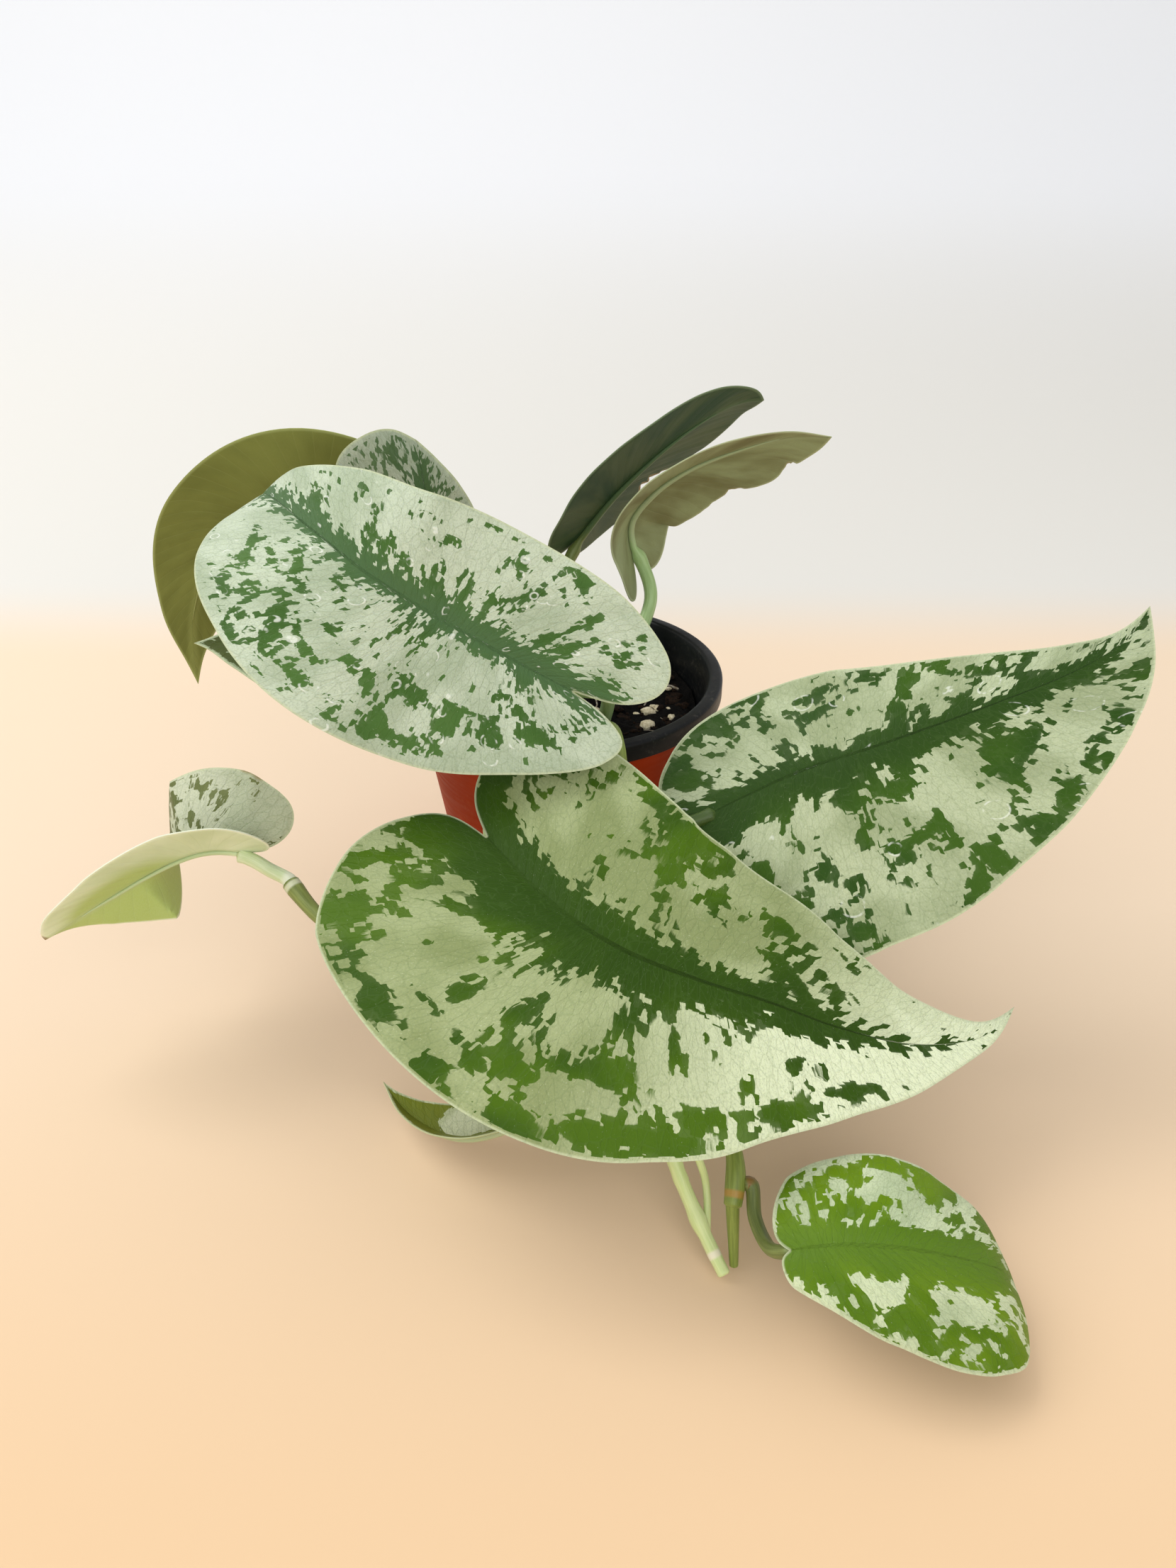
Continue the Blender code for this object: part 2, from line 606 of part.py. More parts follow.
def wall_radius(height):
    """Outer radius of the pot's straight wall at a height."""
    return BASE_RADIUS + (SHOULDER_RADIUS - BASE_RADIUS) * height / SHELL_TOP


def build_pot_shell():
    """Terracotta-coloured outer pot, a thin tapered cup with a rounded foot."""
    foot = FOOT_ROUNDING
    middle = SHELL_TOP / 2
    profile = (
        (0, 0), (BASE_RADIUS - foot, 0), (BASE_RADIUS - 0.25 * foot, 0.3 * foot), (wall_radius(foot), foot),
        (wall_radius(middle), middle), (SHOULDER_RADIUS, SHELL_TOP), (SHOULDER_RADIUS - WALL, SHELL_TOP),
        (wall_radius(middle) - WALL, middle), (wall_radius(foot) - WALL, 1.2 * foot),
        (BASE_RADIUS - foot, WALL), (0, WALL),
    )
    shell = turned("pot_shell", profile, (0.40, 0.07, 0.015), 0.5)
    combine(shell, drain_cutters(), "DIFFERENCE")
    return shell


def liner_radius(height):
    """Outer radius of the liner's wall at a height, one clearance inside the shell."""
    return wall_radius(height) - WALL - GAP - LINER_SLACK


def build_pot_liner():
    """Black inner pot whose rolled rim folds down over the shell's top edge."""
    floor = WALL + GAP
    heel = 2 * FOOT_ROUNDING
    middle = POT_HEIGHT / 2
    skirt_low = POT_HEIGHT - SKIRT_HEIGHT
    under_roll = POT_HEIGHT - WALL
    lip = LIP_ROUNDING
    mouth = liner_radius(POT_HEIGHT) - WALL
    profile = (
        (0, floor), (BASE_RADIUS - heel, floor), (liner_radius(heel), heel),
        (liner_radius(middle), middle), (liner_radius(under_roll - lip), under_roll - lip),
        (liner_radius(under_roll) + 0.6 * lip, under_roll),
        (RIM_RADIUS - WALL - 0.4 * lip, under_roll), (RIM_RADIUS - WALL, under_roll - 0.6 * lip),
        (RIM_RADIUS - WALL, skirt_low), (RIM_RADIUS, skirt_low), (RIM_RADIUS, POT_HEIGHT - lip),
        (RIM_RADIUS - 0.4 * lip, POT_HEIGHT - 0.3 * lip), (RIM_RADIUS - lip, POT_HEIGHT),
        (mouth + 1.6 * lip, POT_HEIGHT), (mouth + 0.5 * lip, POT_HEIGHT - 0.6 * lip),
        (liner_radius(POT_HEIGHT - 2 * lip) - WALL, POT_HEIGHT - 2 * lip),
        (liner_radius(middle) - WALL, middle), (liner_radius(heel) - WALL, heel + WALL),
        (BASE_RADIUS - heel - WALL, floor + WALL), (0, floor + WALL),
    )
    liner = turned("pot_liner", profile, (0.012, 0.012, 0.013), 0.35)
    combine(liner, drain_cutters(), "DIFFERENCE")
    return liner


def soil_height(x, y, random_part):
    """Height of the potting mix: broad waves, finer ones and a crumb of its own."""
    broad = SOIL_WAVE * np.sin(0.11 * x + 0.6) * np.cos(0.13 * y - 0.4)
    fine = 0.4 * SOIL_WAVE * np.sin(0.43 * x - 1.0) * np.sin(0.37 * y + 2.0)
    return SOIL_LEVEL + broad + fine + SOIL_CRUMB * random_part


def build_soil(planted_paths):
    """Potting mix filling the liner, with perlite standing out and a hole for each stem."""
    random = np.random.default_rng(SOIL_SEED)
    low = 2 * (WALL + GAP)
    low_radius = BASE_RADIUS - 3 * FOOT_ROUNDING
    side = WALL + GAP + SOIL_SLACK
    edge_height = SOIL_LEVEL - SOIL_EDGE_DROP
    edge_radius = liner_radius(edge_height) - side
    angle = np.linspace(0, 2 * math.pi, SOIL_SIDES, endpoint=False)
    radii = [low_radius, liner_radius(SOIL_FOOT_HEIGHT) - side]
    radii += [edge_radius * (1 - ring / SOIL_RINGS) for ring in range(SOIL_RINGS)]
    points = []
    for ring, radius in enumerate(radii):
        x, y = radius * np.cos(angle), radius * np.sin(angle)
        if ring == 0:
            height = np.full(SOIL_SIDES, low)
        elif ring == 1:
            height = np.full(SOIL_SIDES, SOIL_FOOT_HEIGHT)
        elif ring == 2:
            height = np.full(SOIL_SIDES, edge_height)
        else:
            height = soil_height(x, y, random.uniform(-1, 1, SOIL_SIDES))
        points.append(np.stack([x, y, height], axis=-1))
    points = np.concatenate(points + [np.array([[0, 0, SOIL_LEVEL]])])
    faces = [tuple(reversed(range(SOIL_SIDES)))]
    for ring in range(len(radii) - 1):
        for k in range(SOIL_SIDES):
            after = (k + 1) % SOIL_SIDES
            a, b = ring * SOIL_SIDES + k, ring * SOIL_SIDES + after
            faces.append((a, b, b + SOIL_SIDES))
            faces.append((a, b + SOIL_SIDES, a + SOIL_SIDES))
    last = (len(radii) - 1) * SOIL_SIDES
    faces.extend((last + k, last + (k + 1) % SOIL_SIDES, len(points) - 1) for k in range(SOIL_SIDES))
    soil = new_object("soil", points, faces, (0.02, 0.014, 0.01), 0.95)
    fix_normals(soil)
    combine(soil, perlite(random))
    holes = []
    for path, radius in planted_paths:
        holes.append(hole_cutter(path, radius))
    combine(soil, holes, "DIFFERENCE")
    return soil


def perlite(random):
    """Pale lumps spread over the potting mix, each sunk to about its middle."""
    lumps = []
    golden_turn = math.pi * (3 - math.sqrt(5))
    for number in range(PERLITE_COUNT):
        radius = PERLITE_SPREAD * math.sqrt((number + 0.5) / PERLITE_COUNT)
        turn = number * golden_turn + random.uniform(-0.2, 0.2)
        x, y = radius * math.cos(turn), radius * math.sin(turn)
        size = PERLITE_RADIUS * random.uniform(0.7, 1.15)
        centre = Vector((x, y, float(soil_height(x, y, 0.0)) + PERLITE_RISE)) * MM
        shape = Matrix.Diagonal((size * MM, size * 0.8 * MM, size * 0.75 * MM, 1.0))
        turn_matrix = Matrix.Rotation(random.uniform(0, math.pi), 4, "Z")
        mesh_data = bmesh.new()
        bmesh.ops.create_icosphere(mesh_data, subdivisions=1, radius=1.0,
                                   matrix=Matrix.Translation(centre) @ turn_matrix @ shape)
        lump = new_object("perlite", [(0, 0, 0)], [], (0.6, 0.55, 0.42))
        mesh_data.to_mesh(lump.data)
        mesh_data.free()
        lumps.append(lump)
    return lumps


def hole_cutter(path, radius):
    """Plain hole round the buried end of a stem, a little wider and deeper than the stem."""
    count = int(np.argmax(path[:, 2] > SOIL_LEVEL + HOLE_REACH))
    buried = path[:count + 1]
    first = buried[0] - unit(buried[1] - buried[0]) * SEAT_NECK
    return tube("hole_cutter", np.concatenate([[first], buried]),
                np.full(len(buried) + 1, radius + HOLE_CLEARANCE), (0, 0, 0))


def planted_ends():
    """Paths and widest radii of every stem and stalk that stands in the soil."""
    ends = []
    for leaf in LEAVES:
        if not leaf.seat:
            ends.append((stalk_path(leaf)[0], leaf.stalk_radius))
    for stem in STEMS:
        if not stem.seat:
            ends.append((even_path(stem.route, STEM_RINGS), stem.radius))
    return ends


def main():
    """Builds the pot, its mix, the trailing stems and the leaves."""
    clear_scene()
    build_pot_shell()
    build_pot_liner()
    build_soil(planted_ends())
    for stem in STEMS:
        build_stem(stem)
    for leaf in LEAVES:
        build_leaf(leaf)


main()
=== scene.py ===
import logging
import math
from dataclasses import dataclass, field, replace
from enum import Enum
from typing import Optional, Union

import bmesh
import bpy
import numpy as np
from mathutils import Matrix, Vector


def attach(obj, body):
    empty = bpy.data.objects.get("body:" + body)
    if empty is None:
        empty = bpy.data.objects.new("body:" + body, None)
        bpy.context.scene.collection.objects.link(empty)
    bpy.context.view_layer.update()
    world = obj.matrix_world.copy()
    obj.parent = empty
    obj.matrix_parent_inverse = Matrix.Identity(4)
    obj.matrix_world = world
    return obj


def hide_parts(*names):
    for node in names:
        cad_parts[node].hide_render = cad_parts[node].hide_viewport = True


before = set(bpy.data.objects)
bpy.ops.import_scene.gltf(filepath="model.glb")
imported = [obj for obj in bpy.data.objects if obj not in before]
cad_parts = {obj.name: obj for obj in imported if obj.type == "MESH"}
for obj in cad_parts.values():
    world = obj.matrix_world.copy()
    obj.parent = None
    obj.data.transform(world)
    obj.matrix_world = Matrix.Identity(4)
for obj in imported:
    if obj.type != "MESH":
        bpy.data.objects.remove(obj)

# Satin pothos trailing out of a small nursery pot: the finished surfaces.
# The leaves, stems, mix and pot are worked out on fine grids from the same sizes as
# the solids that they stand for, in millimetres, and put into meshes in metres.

log = logging.getLogger("pothos")
logging.basicConfig(level=logging.INFO, format="%(name)s: %(message)s")

MM = 0.001
# Clearance between the pots and round the mix, in millimetres as all sizes are
GAP = 0.3
# Clearance of a stalk from the stem that it grows from, too small to show
SEAT_GAP = 0.06
# Rounded end of a tube, by its radius: how far it reaches and how wide its last ring is
CAP_REACH = 0.25
CAP_RADIUS = 0.72
Array = np.ndarray
Socket = bpy.types.NodeSocket
# What a shader input takes: a number, a vector, a hex colour or another node's output
Value = Union[float, tuple, str, Socket]


# Plain numbers and curves

def linear(code: str) -> tuple[float, float, float, float]:
    """Turns an sRGB hex code into a linear colour with full alpha.

    Args:
        code: six hex digits, with or without a leading hash.

    Returns:
        Red, green, blue and alpha, each from 0 to 1.
    """
    digits = code.lstrip("#")
    values = [int(digits[place:place + 2], 16) / 255 for place in (0, 2, 4)]
    channels = [value / 12.92 if value <= 0.04045 else ((value + 0.055) / 1.055) ** 2.4 for value in values]
    return (*channels, 1.0)


def unit(vectors: Array) -> Array:
    """Scales each vector to length 1."""
    return vectors / np.maximum(np.linalg.norm(vectors, axis=-1, keepdims=True), 1e-12)


def smooth_step(low: float, high: float, values: Array) -> Array:
    """Rises from 0 at low to 1 at high along the cubic 3x^2 - 2x^3."""
    x = np.clip((values - low) / (high - low), 0, 1)
    return x * x * (3 - 2 * x)


def smooth_curve(points: tuple, places: Array, power: float = 0.5) -> Array:
    """Cubic curve through points, read at places from 0 to 1.

    The points are spaced by their chord lengths raised to power, and each slope is the
    weighted mean of the chords on its two sides.

    Args:
        points: the points that the curve passes through.
        places: fractions of the curve, 0 to 1.
        power: spacing exponent, 1 for the chord lengths themselves.

    Returns:
        One row of coordinates for each place.
    """
    known = np.asarray(points, float)
    steps = np.linalg.norm(np.diff(known, axis=0), axis=1) ** power
    knots = np.concatenate([[0.0], np.cumsum(steps)])
    knots = knots / knots[-1]
    span = np.diff(knots)
    chord = np.diff(known, axis=0) / span[:, None]
    slope = np.empty_like(known)
    before, after = span[:-1, None], span[1:, None]
    slope[1:-1] = (chord[:-1] * after + chord[1:] * before) / (before + after)
    slope[0] = 1.5 * chord[0] - 0.5 * slope[1]
    slope[-1] = 1.5 * chord[-1] - 0.5 * slope[-2]
    index = np.clip(np.searchsorted(knots, places, side="right") - 1, 0, len(knots) - 2)
    width = span[index][..., None]
    s = ((places - knots[index]) / span[index])[..., None]
    return ((2 * s**3 - 3 * s**2 + 1) * known[index] + (s**3 - 2 * s**2 + s) * width * slope[index]
            + (3 * s**2 - 2 * s**3) * known[index + 1] + (s**3 - s**2) * width * slope[index + 1])


def even_path(points: tuple, count: int) -> Array:
    """Reads a smooth curve through points at even steps of its length.

    Args:
        points: the points that the curve passes through.
        count: how many points to read, the curve's two ends among them.

    Returns:
        The points read.
    """
    dense = smooth_curve(points, np.linspace(0, 1, 400))
    length = np.concatenate([[0.0], np.cumsum(np.linalg.norm(np.diff(dense, axis=0), axis=1))])
    return read_rows(dense, length, np.linspace(0, length[-1], count))


def read_rows(rows: Array, places: Array, wanted: Array) -> Array:
    """Reads rows of vectors, known at places, at the wanted places."""
    return np.stack([np.interp(wanted, places, rows[:, k]) for k in range(3)], axis=-1)


def lattice_noise(points: Array, seed: int) -> Array:
    """Smooth random field between -1 and 1.

    Each whole-number corner of space gets a random value from a sine hash, and the
    eight corners round a point are blended by the cubic 3x^2 - 2x^3.

    Args:
        points: coordinates in cells, last axis of length 3.
        seed: picks another field.

    Returns:
        One value for each point.
    """
    cell = np.floor(points)
    inside = points - cell
    weight = inside * inside * (3 - 2 * inside)
    total = np.zeros(points.shape[:-1])
    for corner in np.ndindex(2, 2, 2):
        place = cell + corner
        mix = place @ np.array([127.1, 311.7, 74.7]) + 19.19 * seed
        value = np.sin(mix) * 43758.5453
        value = 2 * (value - np.floor(value)) - 1
        share = np.prod(np.where(np.array(corner) == 1, weight, 1 - weight), axis=-1)
        total += share * value
    return total


def crumbled(points: Array, size: float, octaves: int, seed: int) -> Array:
    """Sum of lattice fields, each half the size and 0.55 of the height of the last.

    Args:
        points: coordinates, last axis of length 3.
        size: cell of the first field, in their unit.
        octaves: number of fields.
        seed: picks another sum.

    Returns:
        One value for each point.
    """
    total = np.zeros(points.shape[:-1])
    for octave in range(octaves):
        total += 0.55**octave * lattice_noise(points * 2**octave / size, seed + octave)
    return total


# Meshes

@dataclass
class Surface:
    """Points in millimetres, faces, face material numbers and per-point fields."""
    points: Array
    faces: list
    material: Array
    fields: dict = field(default_factory=dict)

    def count(self) -> int:
        """Number of points."""
        return len(self.points)


def grid_faces(rows: int, columns: int, wrap: bool = False) -> Array:
    """Four-sided faces over a grid of points numbered row by row.

    Args:
        rows: rows of points.
        columns: points in each row.
        wrap: joins the last column to the first.

    Returns:
        An array of faces, four point numbers each.
    """
    across = np.arange(columns if wrap else columns - 1)
    row = np.arange(rows - 1)[:, None] * columns
    a = row + across
    b = row + (across + 1) % columns
    return np.stack([a, b, b + columns, a + columns], axis=-1).reshape(-1, 4)


def closed_rings(rings: Array, start: tuple, end: tuple) -> tuple[Array, list]:
    """Skin through rings of points, closed to a point at both ends.

    Args:
        rings: the rings' points, row by row, in millimetres.
        start: point that closes the first ring.
        end: point that closes the last ring.

    Returns:
        All points, and the faces' point numbers.
    """
    rows, columns = rings.shape[:2]
    ring = np.arange(columns)
    after = np.roll(ring, -1)
    last_ring, centre = (rows - 1) * columns, np.full(columns, rows * columns)
    faces = grid_faces(rows, columns, wrap=True).tolist()
    faces += np.stack([after, ring, centre], axis=-1).tolist()
    faces += np.stack([last_ring + ring, last_ring + after, centre + 1], axis=-1).tolist()
    return np.concatenate([rings.reshape(-1, 3), [start, end]]), faces


def join_surfaces(surfaces: list) -> Surface:
    """Puts several surfaces into one, filling fields that a surface lacks with 0.

    Args:
        surfaces: the surfaces to join.

    Returns:
        The joined surface.
    """
    names = sorted({name for surface in surfaces for name in surface.fields})
    points, faces, material = [], [], []
    fields: dict = {name: [] for name in names}
    start = 0
    for surface in surfaces:
        points.append(surface.points)
        faces.extend((np.asarray(face) + start).tolist() for face in surface.faces)
        material.append(surface.material)
        for name in names:
            like = next(other.fields[name] for other in surfaces if name in other.fields)
            blank = np.zeros((surface.count(), *like.shape[1:]))
            fields[name].append(surface.fields.get(name, blank))
        start += surface.count()
    joined = {name: np.concatenate(values) for name, values in fields.items()}
    return Surface(np.concatenate(points), faces, np.concatenate(material), joined)


def make_object(name: str, surface: Surface, materials: list, crease: float = 50.0) -> bpy.types.Object:
    """Puts a surface into a mesh object at the origin, with its fields as attributes.

    Args:
        name: the object's name.
        surface: what to put in, in millimetres.
        materials: the finishes that the face material numbers count through.
        crease: edges that bend more than this many degrees stay sharp.

    Returns:
        The new object, linked to the scene.
    """
    mesh = bpy.data.meshes.new(name)
    mesh.from_pydata((surface.points * MM).tolist(), [], [list(face) for face in surface.faces])
    for material in materials:
        mesh.materials.append(material)
    mesh.polygons.foreach_set("material_index", surface.material.astype(np.int32))
    for key, values in surface.fields.items():
        kind, part = ("FLOAT_VECTOR", "vector") if values.ndim == 2 else ("FLOAT", "value")
        attribute = mesh.attributes.new(key, kind, "POINT")
        attribute.data.foreach_set(part, values.astype(np.float32).ravel())
    shape = bmesh.new()
    shape.from_mesh(mesh)
    bmesh.ops.recalc_face_normals(shape, faces=shape.faces)
    shape.to_mesh(mesh)
    shape.free()
    mesh.shade_smooth()
    mesh.set_sharp_from_angle(angle=math.radians(crease))
    item = bpy.data.objects.new(name, mesh)
    bpy.context.scene.collection.objects.link(item)
    return item


def tube_surface(path: Array, radii: Array, sides: int, material: int = 0, flat: float = 0.0) -> Surface:
    """Round closed tube along a path, its rings carried along without twist.

    A ring's point is centre + radius (cos a side + sin a other). A smaller ring beyond
    each end rounds it off.

    Args:
        path: centre line in millimetres.
        radii: radius at each point of it.
        sides: points in a ring.
        material: face material number.
        flat: how much of the radius the upper side is pressed in, 0 for round.

    Returns:
        The tube, with fields along (millimetres) and round (0 to 1).
    """
    steps = np.linalg.norm(np.diff(path, axis=0), axis=1)
    length = np.concatenate([[0.0], np.cumsum(steps)])
    direction = unit(np.gradient(path, axis=0))
    start = path[0] - direction[0] * radii[0] * CAP_REACH
    end = path[-1] + direction[-1] * radii[-1] * CAP_REACH
    path = np.concatenate([[start], path, [end]])
    radii = np.concatenate([[radii[0] * CAP_RADIUS], radii, [radii[-1] * CAP_RADIUS]])
    length = np.concatenate([[length[0]], length, [length[-1]]])
    direction = np.concatenate([direction[:1], direction, direction[-1:]])
    side = np.empty_like(path)
    carried = np.cross(direction[0], (0.0, 0.0, 1.0))
    if np.linalg.norm(carried) < 0.2:
        carried = np.cross(direction[0], (0.0, 1.0, 0.0))
    for place, way in enumerate(direction):
        carried = carried - (carried @ way) * way
        carried = carried / np.linalg.norm(carried)
        side[place] = carried
    other = np.cross(direction, side)
    angle = np.linspace(0, 2 * math.pi, sides, endpoint=False)
    press = 1 - flat * smooth_step(0.5, 1.0, np.sin(angle))
    ring = np.cos(angle)[None, :, None] * side[:, None] + np.sin(angle)[None, :, None] * other[:, None]
    rings = path[:, None] + ring * (radii[:, None] * press[None])[..., None]
    points, faces = closed_rings(rings, start, end)
    along = np.concatenate([np.repeat(length, sides), [length[0], length[-1]]])
    turn = np.concatenate([np.tile(angle / (2 * math.pi), len(path)), [0.0, 0.0]])
    return Surface(points, faces, np.full(len(faces), material), {"along": along, "round": turn})


# Finishes

# Settings of the nodes that the finishes use most
COLOURS = {"data_type": "RGBA"}
SMOOTH = {"interpolation_type": "SMOOTHSTEP"}
PLUS = {"operation": "ADD"}
MINUS = {"operation": "SUBTRACT"}
TIMES = {"operation": "MULTIPLY"}
TIMES_PLUS = {"operation": "MULTIPLY_ADD"}
LARGER = {"operation": "MAXIMUM"}
SIZE = {"operation": "ABSOLUTE"}


class Tree:
    """A material's node tree, with one way to add a node."""

    def __init__(self, name: str) -> None:
        """Starts a material with a Principled shader only.

        Args:
            name: the material's name.
        """
        self.material = bpy.data.materials.new(name)
        self.material.use_nodes = True
        self.nodes = self.material.node_tree.nodes
        self.links = self.material.node_tree.links
        self.shader = self.nodes["Principled BSDF"]

    def put(self, socket: Socket, value: Value) -> None:
        """Links a socket to an input, or sets it to a number, a vector or a hex colour.

        Args:
            socket: input of a node.
            value: what goes into it.
        """
        if isinstance(value, Socket):
            self.links.new(value, socket)
        elif isinstance(value, str):
            socket.default_value = linear(value)
        else:
            socket.default_value = value

    def add(self, kind: str, settings: dict, *values: Value, output: str = "") -> Socket:
        """Adds a node with its settings and links.

        Args:
            kind: the node's type name, without the ShaderNode in front.
            settings: property names and input names to their values.
            values: what goes into the node's inputs, in their order.
            output: which output to return, the first one where it is left out.

        Returns:
            The output socket.
        """
        node = self.nodes.new("ShaderNode" + kind)
        inputs = {}
        for key, value in settings.items():
            if hasattr(node, key):
                setattr(node, key, value)
            else:
                inputs[key] = value
        for socket, value in zip([socket for socket in node.inputs if socket.enabled], values):
            self.put(socket, value)
        for key, value in inputs.items():
            self.put(node.inputs[key], value)
        if output:
            return node.outputs[output]
        return next(socket for socket in node.outputs if socket.enabled)

    def lumps(self, place: Socket, size: tuple, detail: float, roughness: float,
              shift: float = 0.0) -> Socket:
        """Uneven field of lumps, from 0 to 1.

        Args:
            place: place on the surface.
            size: a lump's size along each axis, in the place's own unit.
            detail: number of finer octaves.
            roughness: how much each octave keeps of the one before.
            shift: offset that picks another field.

        Returns:
            The field's value.
        """
        scaled = self.add("Mapping", {"Scale": tuple(1 / value for value in size),
                                      "Location": (shift, 0.7 * shift, 0.3 * shift)}, place)
        return self.add("TexNoise", {}, scaled, 1.0, detail, roughness)

    def tint(self, colour: Value, tone: Value, guide: Socket, low: float, high: float,
             start: float = 0.0, end: float = 1.0) -> Socket:
        """Lays a tone over a colour, its share going from start to end as guide goes from low to high."""
        share = self.add("MapRange", SMOOTH, guide, low, high, start, end)
        return self.add("Mix", COLOURS, share, colour, tone)

    def finish(self, sockets: dict, relief: tuple = ()) -> bpy.types.Material:
        """Sets or links the shader's sockets, with layers of relief laid one over another.

        Args:
            sockets: names of the shader's inputs to their values.
            relief: height from 0 to 1, depth in millimetres and strength of each layer.

        Returns:
            The material.
        """
        normal: dict = {}
        for height, depth, strength in relief:
            normal = {"Normal": self.add("Bump", {"Distance": depth * MM, "Strength": strength,
                                                  "Height": height, **normal})}
        for key, value in {**sockets, **normal}.items():
            self.put(self.shader.inputs[key], value)
        return self.material


def side_veins(tree: Tree, vein: Socket, spacing: float, shift: float = 0.0) -> Socket:
    """Blade between its side veins: |sin(pi x / spacing)|^0.35, where noise moves x by up to 3 mm.

    Args:
        tree: the material's node tree.
        vein: place across and along the side veins, in millimetres.
        spacing: distance from vein to vein, in millimetres.
        shift: offset that differs from leaf to leaf.

    Returns:
        0 on a side vein and 1 halfway to the next one.
    """
    run = tree.add("SeparateXYZ", {}, vein, output="X")
    run = tree.add("Math", TIMES_PLUS, tree.lumps(vein, (9, 22, 10), 1.0, 0.5, shift), 3.0, run)
    wave = tree.add("Math", {"operation": "SINE"}, tree.add("Math", TIMES, run, math.pi / spacing))
    return tree.add("Math", {"operation": "POWER"}, tree.add("Math", SIZE, wave), 0.35)


@dataclass(frozen=True)
class SilverPattern:
    """How the silver lies on the green of one leaf. Lengths are in millimetres.

    amount lifts or lowers the share of silver. bands holds the left and right half width
    of the green along the midrib, at the base and towards the tip, and feather how far
    its edge wanders. rim is the width of the silver margin. patch and fleck are the sizes
    of large and small patches across and along the side veins, and contrast, flecks and
    streaks are how strong the large, the small and the thinnest ones are. Each mark is a
    soft patch, silver where its weight is positive and green where it is negative: its
    place along and out from the midrib (left is positive), its reach across and along
    the side veins, and the weight. Above 2.6 the silver goes over to the pale tone, which
    is partly painted light.
    """
    amount: float = 0.0
    bands: tuple = ((6.0, 2.0), (6.0, 2.0))
    feather: float = 9.0
    rim: float = 2.0
    patch: tuple = (8.0, 15.0)
    contrast: float = 6.0
    fleck: tuple = (3.8, 5.6)
    flecks: float = 3.0
    # Step of the patches' edges. The real cells are under 1 mm, too fine to show, so it is coarser
    cell: tuple = (1.7, 2.6)
    streaks: float = 0.2
    marks: tuple = ()
    silver: tuple = ("#a3af8b", "#b6bfa0")
    # Pale silver tone: the pale part of some leaves, and painted light where a blade is to look more
    # brightly lit
    bright: str = "#c3cda9"
    # Run along the margin over which the silver goes over to the pale tone: painted light, lighter towards
    # the tip
    painted_light_run: tuple = ()
    green: tuple = ("#2f5a14", "#4b7d1c")
    # Tone of the green near the midrib, and how far out it reaches
    rib_green: str = "#35582f"
    rib_reach: float = 10.0
    # How strong the dried drops' pale rims are, partly real residue and partly painted highlight, and how
    # far apart
    rings: float = 0.0
    ring_spacing: float = 6.5
    seed: float = 0.0

    @property
    def shift(self) -> float:
        """Offset of the leaf's noise, so that no two leaves are alike."""
        return self.seed * 17.3


